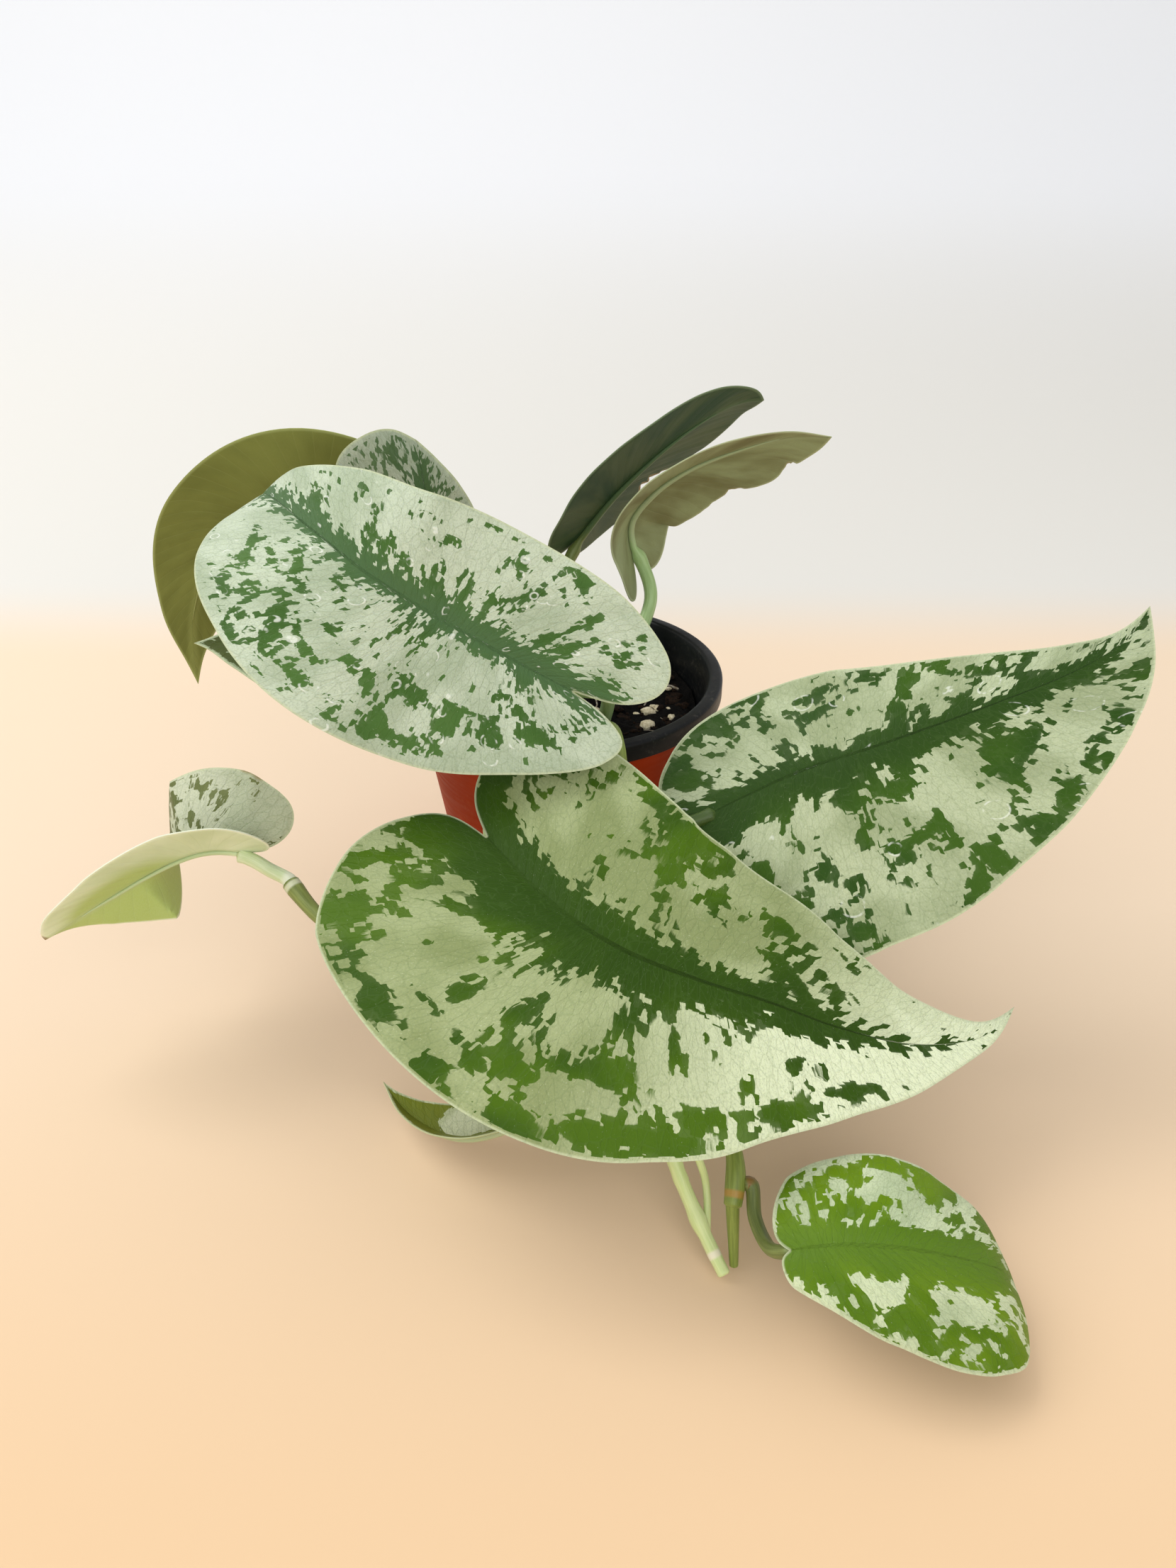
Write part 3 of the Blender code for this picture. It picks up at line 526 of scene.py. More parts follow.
@dataclass(frozen=True)
class SatinUpperFace:
    """Upper face of a satin pothos leaf: living tissue with a thin wax bloom.

    Air pockets under the skin scatter the light in silver patches, cell by cell, so
    their edges step along the fine veins. The eye sees matt silver, a softer gloss on
    the green, a pale margin, faint quilting between the side veins and a fine sparkle,
    which is a painted highlight of pale flecks in the colour.
    """
    pattern: SilverPattern
    margin: str = "#c6cda9"
    tip: str = "#8d7a4e"
    pore: str = "#6f8058"
    # Tone of the painted sparkle: pale flecks that stand for glints of light
    painted_sparkle: str = "#dfe6cf"
    crease: str = "#55703a"
    # Pale rim of a dried drop: partly real residue, partly painted highlight
    dried_drop_and_glint: str = "#eef2e6"
    # Sizes in millimetres, across and along the side veins. The third number keeps the two
    # halves of a blade apart, because they lie 40 mm apart in that direction.
    vein_spacing: float = 4.6
    grain: tuple = (0.35, 0.56, 10)
    band_lump: tuple = (3.0, 14.0)
    # How far noise bends the rows of cells
    cell_wander: float = 1.6
    streak: tuple = (0.55, 4.5, 10)
    weave: tuple = (0.7, 2.4, 10)
    net: tuple = (2.4, 4.2, 10)
    green_cloud: tuple = (26, 30, 30)
    silver_cloud: tuple = (19, 24, 10)
    drop_gap: tuple = (2.2, 2.2, 10)
    # Nearest and farthest of a drop's rim, about twice as broad as real, so as to show
    drop_rim: tuple = (0.1, 0.35)
    # Smallest and largest drop, as a share of their spacing
    drop_radius: tuple = (0.17, 0.32)
    # How far the margin's inner edge wanders, and how much silver the margin adds
    rim_wander: float = 2.5
    rim_rise: float = 2.2
    # How much silver the green along the midrib takes away
    band_drop: float = 3.6

    def level(self, tree: Tree, vein: Socket, edge: Socket, mark: Socket) -> Socket:
        """Silver where it is above 0: patches + flecks + marks - midrib band + rim.

        Args:
            tree: the material's node tree.
            vein: place across and along the side veins, in millimetres.
            edge: distance from the margin, in millimetres.
            mark: sum of the marks.

        Returns:
            The level, about -4 to 4.
        """
        look = self.pattern
        across, along = look.cell
        wander = tree.add("TexNoise", {}, vein, 0.30, 1.0, 0.5, output="Color")
        bent = tree.add("VectorMath", TIMES_PLUS, wander, (self.cell_wander, self.cell_wander, 0.0), vein)
        squared = tree.add("Mapping", {"Scale": (1 / across, 1 / along, 0.1)}, bent)
        cells = tree.add("TexVoronoi", {"distance": "CHEBYCHEV", "Scale": 1.0, "Randomness": 0.9},
                         squared, output="Position")
        patch, fleck, feather = (
            tree.lumps(cells, (size[0] / across, size[1] / along, 1), detail, roughness, look.shift + step)
            for size, detail, roughness, step in ((look.patch, 2.0, 0.45, 0), (look.fleck, 1.0, 0.5, 5),
                                                  (self.band_lump, 2.0, 0.6, 13)))
        streak = tree.lumps(vein, self.streak, 2.0, 0.6, look.shift + 9)
        level = mark
        for lumps, strength in ((patch, look.contrast), (fleck, look.flecks), (streak, look.streaks)):
            level = tree.add("Math", TIMES_PLUS, lumps, strength, level)
        middle = look.amount - 0.5 * (look.contrast + look.flecks + look.streaks)
        level = tree.add("Math", PLUS, level, middle)
        band = tree.add("Attribute", {"attribute_name": "band"}, output="Fac")
        band = tree.add("Math", TIMES_PLUS, feather, -2 * look.feather, band)
        band = tree.add("Math", PLUS, band, look.feather)
        level = tree.add("Math", PLUS, level,
                         tree.add("MapRange", SMOOTH, band, -2.5, 1.5, 0.0, -self.band_drop))
        rim = tree.add("Math", TIMES_PLUS, fleck, self.rim_wander, edge)
        inner, outer = (look.rim * share + self.rim_wander / 2 for share in (0.6, 1.4))
        rim = tree.add("MapRange", SMOOTH, rim, inner, outer, self.rim_rise, 0.0)
        return tree.add("Math", PLUS, level, rim)

    def material(self, name: str) -> bpy.types.Material:
        """Builds the finish: the level cut sharply at 0 between green and silver.

        Args:
            name: the material's name.

        Returns:
            The material.
        """
        tree, look = Tree(name), self.pattern
        shift = look.shift
        vein = tree.add("Attribute", {"attribute_name": "vein"}, output="Vector")
        rib, edge, mark, worn = (tree.add("Attribute", {"attribute_name": key}, output="Fac")
                                 for key in ("rib", "edge", "mark", "worn"))
        level = self.level(tree, vein, edge, mark)
        mask = tree.add("MapRange", SMOOTH, level, -0.05, 0.08, 0.0, 1.0)
        veil = tree.add("MapRange", SMOOTH, level, -0.7, 0.1, 0.0, 0.06)
        cloud = tree.lumps(vein, self.green_cloud, 2.0, 0.5, shift + 21)
        green = tree.tint(*look.green, cloud, 0.38, 0.62)
        green = tree.tint(green, look.rib_green, rib, 0.5, look.rib_reach, 0.9, 0.0)
        cloud = tree.lumps(vein, self.silver_cloud, 1.0, 0.5, shift + 31)
        silver = tree.tint(*look.silver, cloud, 0.38, 0.62)
        # Pale silver where the marks pass 2.6, partly painted light, and painted light along the run towards
        # the tip
        silver = tree.tint(silver, look.bright, mark, 2.6, 4.4, 0.0, 0.9)
        if look.painted_light_run:
            silver = tree.tint(silver, look.bright, tree.add("SeparateXYZ", {}, vein, output="X"),
                               *look.painted_light_run)
        grain = tree.lumps(vein, self.grain, 2.0, 0.7, shift)
        silver = tree.tint(silver, self.pore, grain, 0.28, 0.56, 0.34, 0.0)
        colour = tree.add("Mix", COLOURS, tree.add("Math", LARGER, mask, veil), green, silver)
        # Painted highlight: pale flecks where the grain is high stand for the sparkle
        colour = tree.tint(colour, self.painted_sparkle, tree.add("Math", TIMES_PLUS, mask, 0.05, grain),
                           0.68, 0.78, 0.0, 0.30)
        colour = tree.tint(colour, self.margin, edge, 0.2, 0.85, 0.75, 0.0)
        colour = tree.tint(colour, self.tip, worn, 0.25, 0.8, 0.0, 0.9)
        fold = side_veins(tree, vein, self.vein_spacing, shift + 3)
        colour = tree.tint(colour, self.crease, fold, 0.0, 0.5, 0.10, 0.0)
        weave = tree.lumps(vein, self.weave, 3.0, 0.6, shift + 41)
        netted = tree.add("Mapping", {"Scale": tuple(1 / size for size in self.net)}, vein)
        net = tree.add("TexVoronoi", {"feature": "DISTANCE_TO_EDGE", "Scale": 1.0, "Randomness": 1.0},
                       netted, output="Distance")
        net = tree.add("MapRange", SMOOTH, net, 0.0, 0.09, 1.0, 0.0)
        colour = tree.add("Mix", COLOURS, tree.add("Math", TIMES, net, 0.13), colour, self.crease)
        relief = [(fold, 0.22, 0.6), (grain, 0.07, 0.8), (weave, 0.14, 0.6), (net, 0.10, 0.6)]
        # Dried drops: pale crescents, partly real residue and partly painted highlight
        if look.rings:
            ring = self.water_rings(tree, vein)
            colour = tree.add("Mix", COLOURS, tree.add("Math", TIMES, ring, look.rings), colour,
                              self.dried_drop_and_glint)
            relief.append((ring, 0.12, 0.8))
        rough = tree.add("MapRange", SMOOTH, tree.add("Math", TIMES_PLUS, mask, 0.6, grain),
                         0.2, 1.3, 0.42, 0.66)
        return tree.finish({"Base Color": colour, "Roughness": rough, "Specular IOR Level": 0.12,
                            "Subsurface Weight": 0.10, "Subsurface Radius": (0.9, 1.0, 0.35),
                            "Subsurface Scale": 0.001}, tuple(relief))

    def water_rings(self, tree: Tree, vein: Socket) -> Socket:
        """Dried drops' pale rims, partly painted highlight: where the distance from a scattered centre is
        near its drop's radius.

        Args:
            tree: the material's node tree.
            vein: place on the leaf, in millimetres.

        Returns:
            1 on the rings and 0 elsewhere.
        """
        look = self.pattern
        place = tree.add("Mapping", {"Scale": (1 / look.ring_spacing,) * 3,
                                     "Location": (look.shift, 0, 0)}, vein)
        scatter = {"Scale": 1.0, "Randomness": 1.0}
        centre = tree.add("TexVoronoi", scatter, place, output="Distance")
        chance = tree.add("TexVoronoi", scatter, place, output="Color")
        draw, kept = (tree.add("SeparateColor", {}, chance, output=key) for key in ("Red", "Green"))
        radius = tree.add("MapRange", SMOOTH, draw, 0.0, 1.0, *self.drop_radius)
        ring = tree.add("Math", SIZE, tree.add("Math", MINUS, centre, radius))
        near, far = (reach / look.ring_spacing for reach in self.drop_rim)
        ring = tree.add("MapRange", SMOOTH, ring, near, far, 1.0, 0.0)
        gap = tree.lumps(vein, self.drop_gap, 1.0, 0.5, look.shift + 51)
        for value, low, high in ((kept, 0.45, 0.5), (gap, 0.44, 0.60)):
            ring = tree.add("Math", TIMES, ring, tree.add("MapRange", SMOOTH, value, low, high, 0.0, 1.0))
        return ring


@dataclass(frozen=True)
class LeafUnderside:
    """Underside of a leaf: bare tissue with no wax, matt, with the side veins just showing.

    Light that comes through the blade makes it warmer and yellower than the top.
    """
    base: str = "#8c9b62"
    shade: str = "#6f7c45"
    vein: str = "#a9b482"
    margin: str = "#b9c194"
    tip: str = "#8d7a4e"
    # Tone where the pattern's marks are green, for a half that the light shines through
    lit: str = ""
    vein_strength: float = 0.4
    glow: float = 0.15
    # Sizes in millimetres, laid out as on the upper face
    vein_spacing: float = 4.6
    cloud: tuple = (18, 34, 20)
    grain: tuple = (0.4, 0.9, 10)

    def material(self, name: str) -> bpy.types.Material:
        """Builds the finish: two tones by noise, thin pale side veins and a pale margin.

        Args:
            name: the material's name.

        Returns:
            The material.
        """
        tree = Tree(name)
        vein = tree.add("Attribute", {"attribute_name": "vein"}, output="Vector")
        rib, edge, worn = (tree.add("Attribute", {"attribute_name": key}, output="Fac")
                           for key in ("rib", "edge", "worn"))
        fold = side_veins(tree, vein, self.vein_spacing)
        grain = tree.lumps(vein, self.grain, 2.0, 0.65)
        colour = tree.tint(self.shade, self.base, tree.lumps(vein, self.cloud, 3.0, 0.55), 0.32, 0.68)
        if self.lit:
            mark = tree.add("Attribute", {"attribute_name": "mark"}, output="Fac")
            colour = tree.tint(colour, self.lit, mark, -2.0, -0.3, 0.9, 0.0)
        colour = tree.tint(colour, self.vein, fold, 0.0, 0.6, self.vein_strength, 0.0)
        colour = tree.tint(colour, self.shade, grain, 0.3, 0.7, 0.0, 0.14)
        colour = tree.tint(colour, self.vein, rib, 0.6, 2.4, 0.5, 0.0)
        colour = tree.tint(colour, self.margin, edge, 0.2, 1.1, 0.65, 0.0)
        colour = tree.tint(colour, self.tip, worn, 0.25, 0.8, 0.0, 0.9)
        return tree.finish({"Base Color": colour, "Roughness": 0.55, "Specular IOR Level": 0.24,
                            "Subsurface Weight": self.glow, "Subsurface Radius": (0.9, 1.0, 0.3),
                            "Subsurface Scale": 0.001}, ((fold, 0.20, 0.5), (grain, 0.06, 0.8)))


@dataclass(frozen=True)
class StemSkin:
    """Skin of a stalk or vine: smooth green tissue with faint lengthwise streaks.

    Older stretches go olive, and each leaf joint has a corky brown ring.
    """
    base: str = "#a9bd84"
    streak: str = "#8aa462"
    joint: str = "#9a6a34"
    roughness: float = 0.42
    # Tone of the part that runs along the blade, if it has one
    rib: str = ""
    # Length of a streak in millimetres, and its width as a share of the way round
    streak_size: tuple = (14, 0.07, 1)
    # Width of a pore in millimetres, drawn coarser than real so as to show
    pore: float = 0.6

    def material(self, name: str) -> bpy.types.Material:
        """Builds the finish: streaks along the length, fine pores and the joint's ring.

        Args:
            name: the material's name.

        Returns:
            The material.
        """
        tree = Tree(name)
        along, turn, joint = (tree.add("Attribute", {"attribute_name": key}, output="Fac")
                              for key in ("along", "round", "joint"))
        streak = tree.lumps(tree.add("CombineXYZ", {}, along, turn), self.streak_size, 3.0, 0.6)
        place = tree.add("TexCoord", {}, output="Object")
        pores = tree.lumps(place, (self.pore * MM,) * 3, 2.0, 0.7)
        colour = tree.tint(self.base, self.streak, streak, 0.35, 0.65)
        colour = tree.tint(colour, self.streak, pores, 0.55, 0.75, 0.0, 0.25)
        colour = tree.tint(colour, self.joint, joint, 0.45, 0.9, 0.0, 0.9)
        if self.rib:
            blade = tree.add("Attribute", {"attribute_name": "blade"}, output="Fac")
            colour = tree.add("Mix", COLOURS, blade, colour, self.rib)
        return tree.finish({"Base Color": colour, "Roughness": self.roughness, "Specular IOR Level": 0.45,
                            "Subsurface Weight": 0.12, "Subsurface Radius": (0.9, 1.0, 0.4),
                            "Subsurface Scale": 0.0012}, ((streak, 0.25, 0.5), (pores, 0.10, 0.5)))


@dataclass(frozen=True)
class MouldedPlastic:
    """Injection-moulded polypropylene: even colour, a soft sheen and a fine mould texture.

    Handling leaves faint scuffs, and watering leaves a dusty film in patches.
    """
    base: str
    shade: str
    dust: str
    dust_share: float = 0.2
    roughness: float = 0.42
    specular: float = 0.22
    # Sizes in metres, along the object's three axes
    cloud: tuple = (0.03, 0.03, 0.05)
    speck: tuple = (0.0016,) * 3
    film: tuple = (0.012, 0.012, 0.02)
    scuff: tuple = (0.02, 0.02, 0.0012)
    peel: tuple = (0.0011,) * 3
    sink: tuple = (0.018,) * 3

    def material(self, name: str) -> bpy.types.Material:
        """Builds the finish: cloudy tone, fine peel in the bump, dust where noise is high.

        Args:
            name: the material's name.

        Returns:
            The material.
        """
        tree = Tree(name)
        place = tree.add("TexCoord", {}, output="Object")
        colour = tree.tint(self.shade, self.base, tree.lumps(place, self.cloud, 3.0, 0.55), 0.3, 0.7)
        speck = tree.add("MapRange", SMOOTH, tree.lumps(place, self.speck, 4.0, 0.7, 3.0),
                         0.50, 0.72, 0.0, 1.0)
        film = tree.add("MapRange", SMOOTH, tree.lumps(place, self.film, 4.0, 0.65, 7.0),
                        0.42, 0.66, 0.0, self.dust_share * 3)
        colour = tree.add("Mix", COLOURS, tree.add("Math", TIMES, speck, film), colour, self.dust)
        rough = tree.add("MapRange", SMOOTH, tree.lumps(place, self.scuff, 3.0, 0.6, 11.0),
                         0.3, 0.7, self.roughness - 0.06, self.roughness + 0.10)
        peel = tree.lumps(place, self.peel, 2.0, 0.5, 5.0)
        sink = tree.lumps(place, self.sink, 2.0, 0.5, 2.0)
        return tree.finish({"Base Color": colour, "Roughness": rough, "Specular IOR Level": self.specular},
                           ((peel, 0.04, 0.5), (sink, 0.60, 0.35)))


@dataclass(frozen=True)
class LooseMatter:
    """Damp peat, bark or perlite: dull, porous and uneven in colour from crumb to crumb.

    size is a crumb's width in millimetres.
    """
    dark: str
    light: str
    size: float = 1.2
    roughness: float = 0.93

    def material(self, name: str) -> bpy.types.Material:
        """Builds the finish: two tones at the crumb's size and a rough porous bump.

        Args:
            name: the material's name.

        Returns:
            The material.
        """
        tree = Tree(name)
        place = tree.add("TexCoord", {}, output="Object")
        crumb = tree.lumps(place, (self.size * MM,) * 3, 4.0, 0.7)
        pore = tree.lumps(place, (self.size * MM * 0.3,) * 3, 3.0, 0.7, 4.0)
        return tree.finish({"Base Color": tree.tint(self.dark, self.light, crumb, 0.32, 0.68),
                            "Roughness": self.roughness, "Specular IOR Level": 0.1},
                           ((pore, self.size * 0.25, 0.8), (crumb, self.size * 0.5, 0.8)))


@dataclass(frozen=True)
class StudioPaper:
    """Plain matt backdrop paper: warm in front of the pot, paler beside it and white behind.

    Each tone after the first comes with the stretch over which it fades in, in metres
    towards the back.
    """
    front: str = "#e8c59b"
    beside: tuple = ("#ecd5ba", -0.30, 0.0)
    behind: tuple = ("#dedbd4", 0.19, 0.30)
    far: tuple = ("#fbfbfc", 0.4, 2.4)

    def material(self, name: str) -> bpy.types.Material:
        """Builds the finish: each tone fades into the next one towards the back.

        Args:
            name: the material's name.

        Returns:
            The material.
        """
        tree = Tree(name)
        back = tree.add("SeparateXYZ", {}, tree.add("TexCoord", {}, output="Object"), output="Y")
        colour = self.front
        for tone, start, end in (self.beside, self.behind, self.far):
            colour = tree.tint(colour, tone, back, start, end)
        return tree.finish({"Base Color": colour, "Roughness": 0.85, "Specular IOR Level": 0.2})


# Leaves

class Outline(Enum):
    """Half outlines of a blade, from the stalk round the lobe and the widest place to the tip.

    Each point is along the midrib by its length and out from it by the half width.
    """
    HEART = ((0.0, 0.0), (-0.085, 0.07), (-0.165, 0.30), (-0.135, 0.70), (0.05, 0.97),
             (0.28, 0.98), (0.55, 0.76), (0.80, 0.36), (0.93, 0.10), (1.0, 0.0))
    DRIP = ((0.0, 0.0), (-0.085, 0.07), (-0.145, 0.30), (-0.12, 0.68), (0.03, 0.98),
            (0.24, 1.0), (0.46, 0.78), (0.69, 0.35), (0.87, 0.08), (1.0, 0.0))
    TAPER = ((0.0, 0.0), (-0.085, 0.07), (-0.165, 0.30), (-0.135, 0.70), (0.05, 0.97),
             (0.28, 0.95), (0.55, 0.68), (0.80, 0.26), (0.93, 0.06), (1.0, 0.0))
    NARROW = ((0.0, 0.0), (-0.05, 0.07), (-0.08, 0.28), (-0.03, 0.62), (0.12, 0.92),
              (0.28, 0.87), (0.55, 0.58), (0.80, 0.24), (0.93, 0.06), (1.0, 0.0))
    SKEW = ((0.0, 0.0), (-0.07, 0.03), (-0.14, 0.12), (-0.13, 0.32), (0.02, 0.64),
            (0.22, 0.92), (0.42, 0.98), (0.66, 0.80), (0.86, 0.40), (1.0, 0.0))
    ROUND = ((0.0, 0.0), (-0.06, 0.08), (-0.09, 0.35), (0.04, 0.78), (0.30, 1.0),
             (0.58, 0.95), (0.82, 0.70), (0.95, 0.34), (1.0, 0.0))
    CURLED = ((0.0, 0.0), (-0.04, 0.06), (-0.03, 0.25), (0.12, 0.54), (0.38, 0.85),
              (0.68, 1.0), (0.93, 0.88), (1.07, 0.56), (1.09, 0.25), (1.0, 0.0))


@dataclass(frozen=True)
class PhotoCamera:
    """The photograph's camera: place in metres, drop below level in degrees, lens and picture."""
    place: tuple = (0.008, -0.360, 0.282)
    drop: float = 33.0
    lens: float = 27.03
    sensor: float = 36.0
    picture_size: tuple = (1659, 2212)

    def picture(self, points: Array) -> Array:
        """Places in the picture: its centre + focal length (right, -up) / depth.

        Args:
            points: places in millimetres.

        Returns:
            Pixels across and down.
        """
        drop = math.radians(self.drop)
        ahead = np.array([0.0, math.cos(drop), -math.sin(drop)])
        up = np.array([0.0, math.sin(drop), math.cos(drop)])
        width, height = self.picture_size
        gap = points - np.array(self.place) / MM
        spread = self.lens / self.sensor * height / np.maximum(gap @ ahead, 1.0)
        return np.stack([width / 2 + gap[..., 0] * spread, height / 2 - (gap @ up) * spread], axis=-1)


PHOTO_CAMERA = PhotoCamera()


@dataclass(frozen=True)
class MarkedWindow:
    """Soft patches of silver and green, set in an enlarged window of the photograph.

    corner is the window's corner in the photograph's pixels, and scale is how many window
    pixels one of them takes up. Each mark is its place across and down and its reach
    across and along the side veins, in window pixels, and its weight, silver above 0 and
    green below. spread scales all reaches and strength all weights.
    """
    corner: tuple
    scale: float
    marks: tuple
    spread: float = 1.0
    strength: float = 1.0

    # Longest reach that a mark may have on the leaf, in millimetres
    LONGEST_REACH = 40.0

    def on_leaf(self, grid: Array, flat: Array, way: Array) -> list:
        """Turns the marks into the leaf's own millimetres.

        A mark lies at the grid point whose picture is nearest. Its reach along the side
        vein u is divided by |M u|, and the one across it by the part of M v that is square
        to M u, where v is square to u and M takes flat millimetres to window pixels.

        Args:
            grid: points of the blade, in millimetres.
            flat: their places along and out from the midrib.
            way: unit direction of the side vein at each.

        Returns:
            Marks as their place, their two reaches and their weight.
        """
        seen = (PHOTO_CAMERA.picture(grid) - self.corner) * self.scale
        seen_steps = np.stack(np.gradient(seen, axis=(0, 1)), axis=-1)
        flat_steps = np.stack(np.gradient(flat, axis=(0, 1)), axis=-1)
        result = []
        for x, y, across_reach, along_reach, weight in self.marks:
            away = ((seen - (x, y)) ** 2).sum(axis=-1)
            spot = np.unravel_index(np.argmin(away), away.shape)
            to_window = seen_steps[spot] @ np.linalg.pinv(flat_steps[spot])
            vein = way[spot]
            along, across = to_window @ vein, to_window @ (vein[1], -vein[0])
            along_scale = np.linalg.norm(along)
            across_scale = abs(across[0] * along[1] - across[1] * along[0]) / along_scale
            reaches = (min(self.spread * reach / max(scale, 1.0), self.LONGEST_REACH)
                       for reach, scale in ((across_reach, across_scale), (along_reach, along_scale)))
            result.append((*flat[spot], *reaches, self.strength * weight))
        return result


@dataclass
class BladePlan:
    """Flat layout of a blade, mostly with a value for each point of its grid.

    rows holds each row's t from the stalk to the tip, and across each column's place from
    -1 (right) to 1 (left). place and out lie along the midrib and out from it, as shares
    of its length and of the half width, and flat is the same in millimetres, with left
    positive. A row runs along its vein from the midrib to edge, its end on the outline,
    and reach is how far along it a point lies. sign is 1 on the left and -1 on the
    right, half the half width, and bitten the share that a bite takes there.
    """
    rows: Array
    across: Array
    is_left: Array
    place: Array
    out: Array
    half: Array
    edge: Array
    bitten: Array
    flat: Array
    vein: Array
    sign: Array
    reach: Array


@dataclass
class Leaf:
    """One leaf with its stalk. Lengths are in millimetres and angles in degrees.

    midrib, width, facing, stalk, seat, outline, lifts, curls, lobe_size, wave and bites
    are the sizes of the leaf's solid. rows and steps set how fine the blade's grid is.
    """
    node: str
    midrib: tuple
    width: tuple
    facing: tuple
    stalk: tuple
    seat: tuple = ()
    outline: tuple = (Outline.HEART, Outline.HEART)
    left_lift: tuple = (8, 6, 6)
    left_curl: tuple = (-8, -8, -6)
    right_lift: tuple = (8, 6, 6)
    right_curl: tuple = (-8, -8, -6)
    lobe_size: float = 1.0
    wave: float = 0.6
    wave_count: float = 4.0
    bites: tuple = ()
    stalk_radius: float = 2.2
    rows: int = 110
    steps: int = 30
    pattern: SilverPattern = SilverPattern()
    under: LeafUnderside = LeafUnderside()
    skin: StemSkin = StemSkin()
    slot: str = "silver_leaf"
    seen: Optional[MarkedWindow] = None
    rib_radius: float = 1.3
    joint_reach: float = 1.6
    # How far the very tip has dried, and dried spots: along, out from the midrib and reach
    worn_tip: float = 0.0
    worn_spots: tuple = ()

    # Steps along the midrib, and straight ones behind the stalk and ahead of the tip
    SPINE_SAMPLES = 200
    BEHIND = 70
    AHEAD = 30
    # Half the blade's thickness inside and at its margin, and the width over which it thins
    HALF_THICKNESS = 0.38
    MARGIN_THICKNESS = 0.17
    MARGIN_WIDTH = 1.4
    FLUTTER_HEIGHT = 0.35
    FLUTTER_COUNT = 22
    QUILT_DEPTH = 0.20
    QUILT_SPACING = 9.2
    GROOVE_DEPTH = 0.40
    GROOVE_WIDTH = 1.5
    # Share of the midrib along which the raised rib runs underneath
    RIB_REACH = 0.8
    # Third coordinate of the left half's veins, which keeps its noise apart from the right one's
    LEFT_SHIFT = 40.0
    # Outline points that are measured to at once, to save memory
    OUTLINE_PART = 60

    def __post_init__(self) -> None:
        """Works out the bent line of the midrib and the blade's axes along it."""
        count = self.SPINE_SAMPLES
        line = even_path(self.midrib, count + 1)
        self.length = float(np.linalg.norm(np.diff(line, axis=0), axis=1).sum())
        along = np.gradient(line, axis=0)
        padded = np.pad(along, ((3, 3), (0, 0)), mode="edge")
        along = unit(sum(padded[k:k + count + 1] for k in range(7)))
        step = self.length / count
        back = np.arange(-self.BEHIND, 0)[:, None] * step
        front = np.arange(1, self.AHEAD + 1)[:, None] * step
        self.line = np.concatenate([line[0] + along[0] * back, line, line[-1] + along[-1] * front])
        self.along = np.concatenate([np.repeat(along[:1], self.BEHIND, axis=0), along,
                                     np.repeat(along[-1:], self.AHEAD, axis=0)])
        self.place = np.arange(-self.BEHIND, count + self.AHEAD + 1) / count
        blend = np.clip(self.place, 0, 1)[:, None]
        base_face, tip_face = (unit(np.array(face, float)) for face in self.facing)
        face = base_face * (1 - blend) + tip_face * blend
        self.up = unit(face - (face * self.along).sum(axis=-1, keepdims=True) * self.along)
        self.left = np.cross(self.up, self.along)

    @staticmethod
    def _angle(degrees: tuple, place: Array) -> Array:
        """Angle in radians at places along the blade, from degrees at even steps of it."""
        return np.radians(np.interp(place, np.linspace(0, 1, len(degrees)), degrees))

    def _margin(self, side: int, rows: Array) -> tuple[Array, Array, Array]:
        """Outline of one half at each row, and how bitten it is there.

        Each bite takes depth exp(-((row - place) / reach)^2) of the half width.

        Args:
            side: 0 for the left half, 1 for the right.
            rows: fractions from the stalk to the tip.

        Returns:
            Places along the midrib, places out from it, and the share bitten off.
        """
        edge = smooth_curve(self.outline[side].value, rows, 0.7)
        x = np.where(edge[:, 0] < 0, edge[:, 0] * self.lobe_size, edge[:, 0])
        bitten = np.zeros_like(rows)
        for bite_side, place, reach, depth in self.bites:
            if bite_side == side:
                bitten = bitten + depth * np.exp(-((rows - place) / reach) ** 2)
        ragged = 1 + 0.25 * lattice_noise(np.stack([rows * 90, rows * 0, rows * 0], axis=-1), 5)
        return x, np.maximum(edge[:, 1], 0) * (1 - np.clip(bitten * ragged, 0, 0.95)), bitten

    def layout(self) -> BladePlan:
        """Flat layout of the blade: where each grid point lies along and out from the midrib.

        A row starts on the midrib at 0.12 t + 0.88 t^2.2 and runs to the outline at t, like
        a side vein. The rows are spaced evenly along the margin, not in t.

        Returns:
            The layout.
        """
        dense = np.linspace(0, 1, 800)
        run = np.zeros(800)
        for side in (0, 1):
            x, y, _ = self._margin(side, dense)
            step = np.hypot(np.diff(x * self.length), np.diff(y * self.width[side]))
            run += np.concatenate([[0.0], np.cumsum(step)])
        even = run / run[-1] * 0.85 + dense * 0.15
        rows = np.interp(np.linspace(0, 1, self.rows + 1), even, dense)
        columns = np.linspace(-1, 1, 2 * self.steps + 1)
        across = np.sign(columns) * np.abs(columns) ** 0.92
        is_left = np.broadcast_to((across > 0)[None], (self.rows + 1, across.size))
        foot = (0.12 * rows + 0.88 * rows**2.2)[:, None]
        edge_x, edge_y, bitten = (np.where(is_left, left[:, None], right[:, None])
                                  for left, right in zip(self._margin(0, rows), self._margin(1, rows)))
        reach = np.abs(across)[None]
        half = np.where(is_left, self.width[0], self.width[1])
        sign = np.where(is_left, 1.0, -1.0)
        place, out = foot + (edge_x - foot) * reach, edge_y * reach
        flat = np.stack([place * self.length, sign * out * half], axis=-1)
        vein = np.stack([(edge_x - foot) * self.length, sign * edge_y * half], axis=-1)
        edge = np.stack([edge_x * self.length, edge_y * half], axis=-1)
        return BladePlan(rows, across, is_left, place, out, half, edge, bitten, flat, vein, sign, reach)

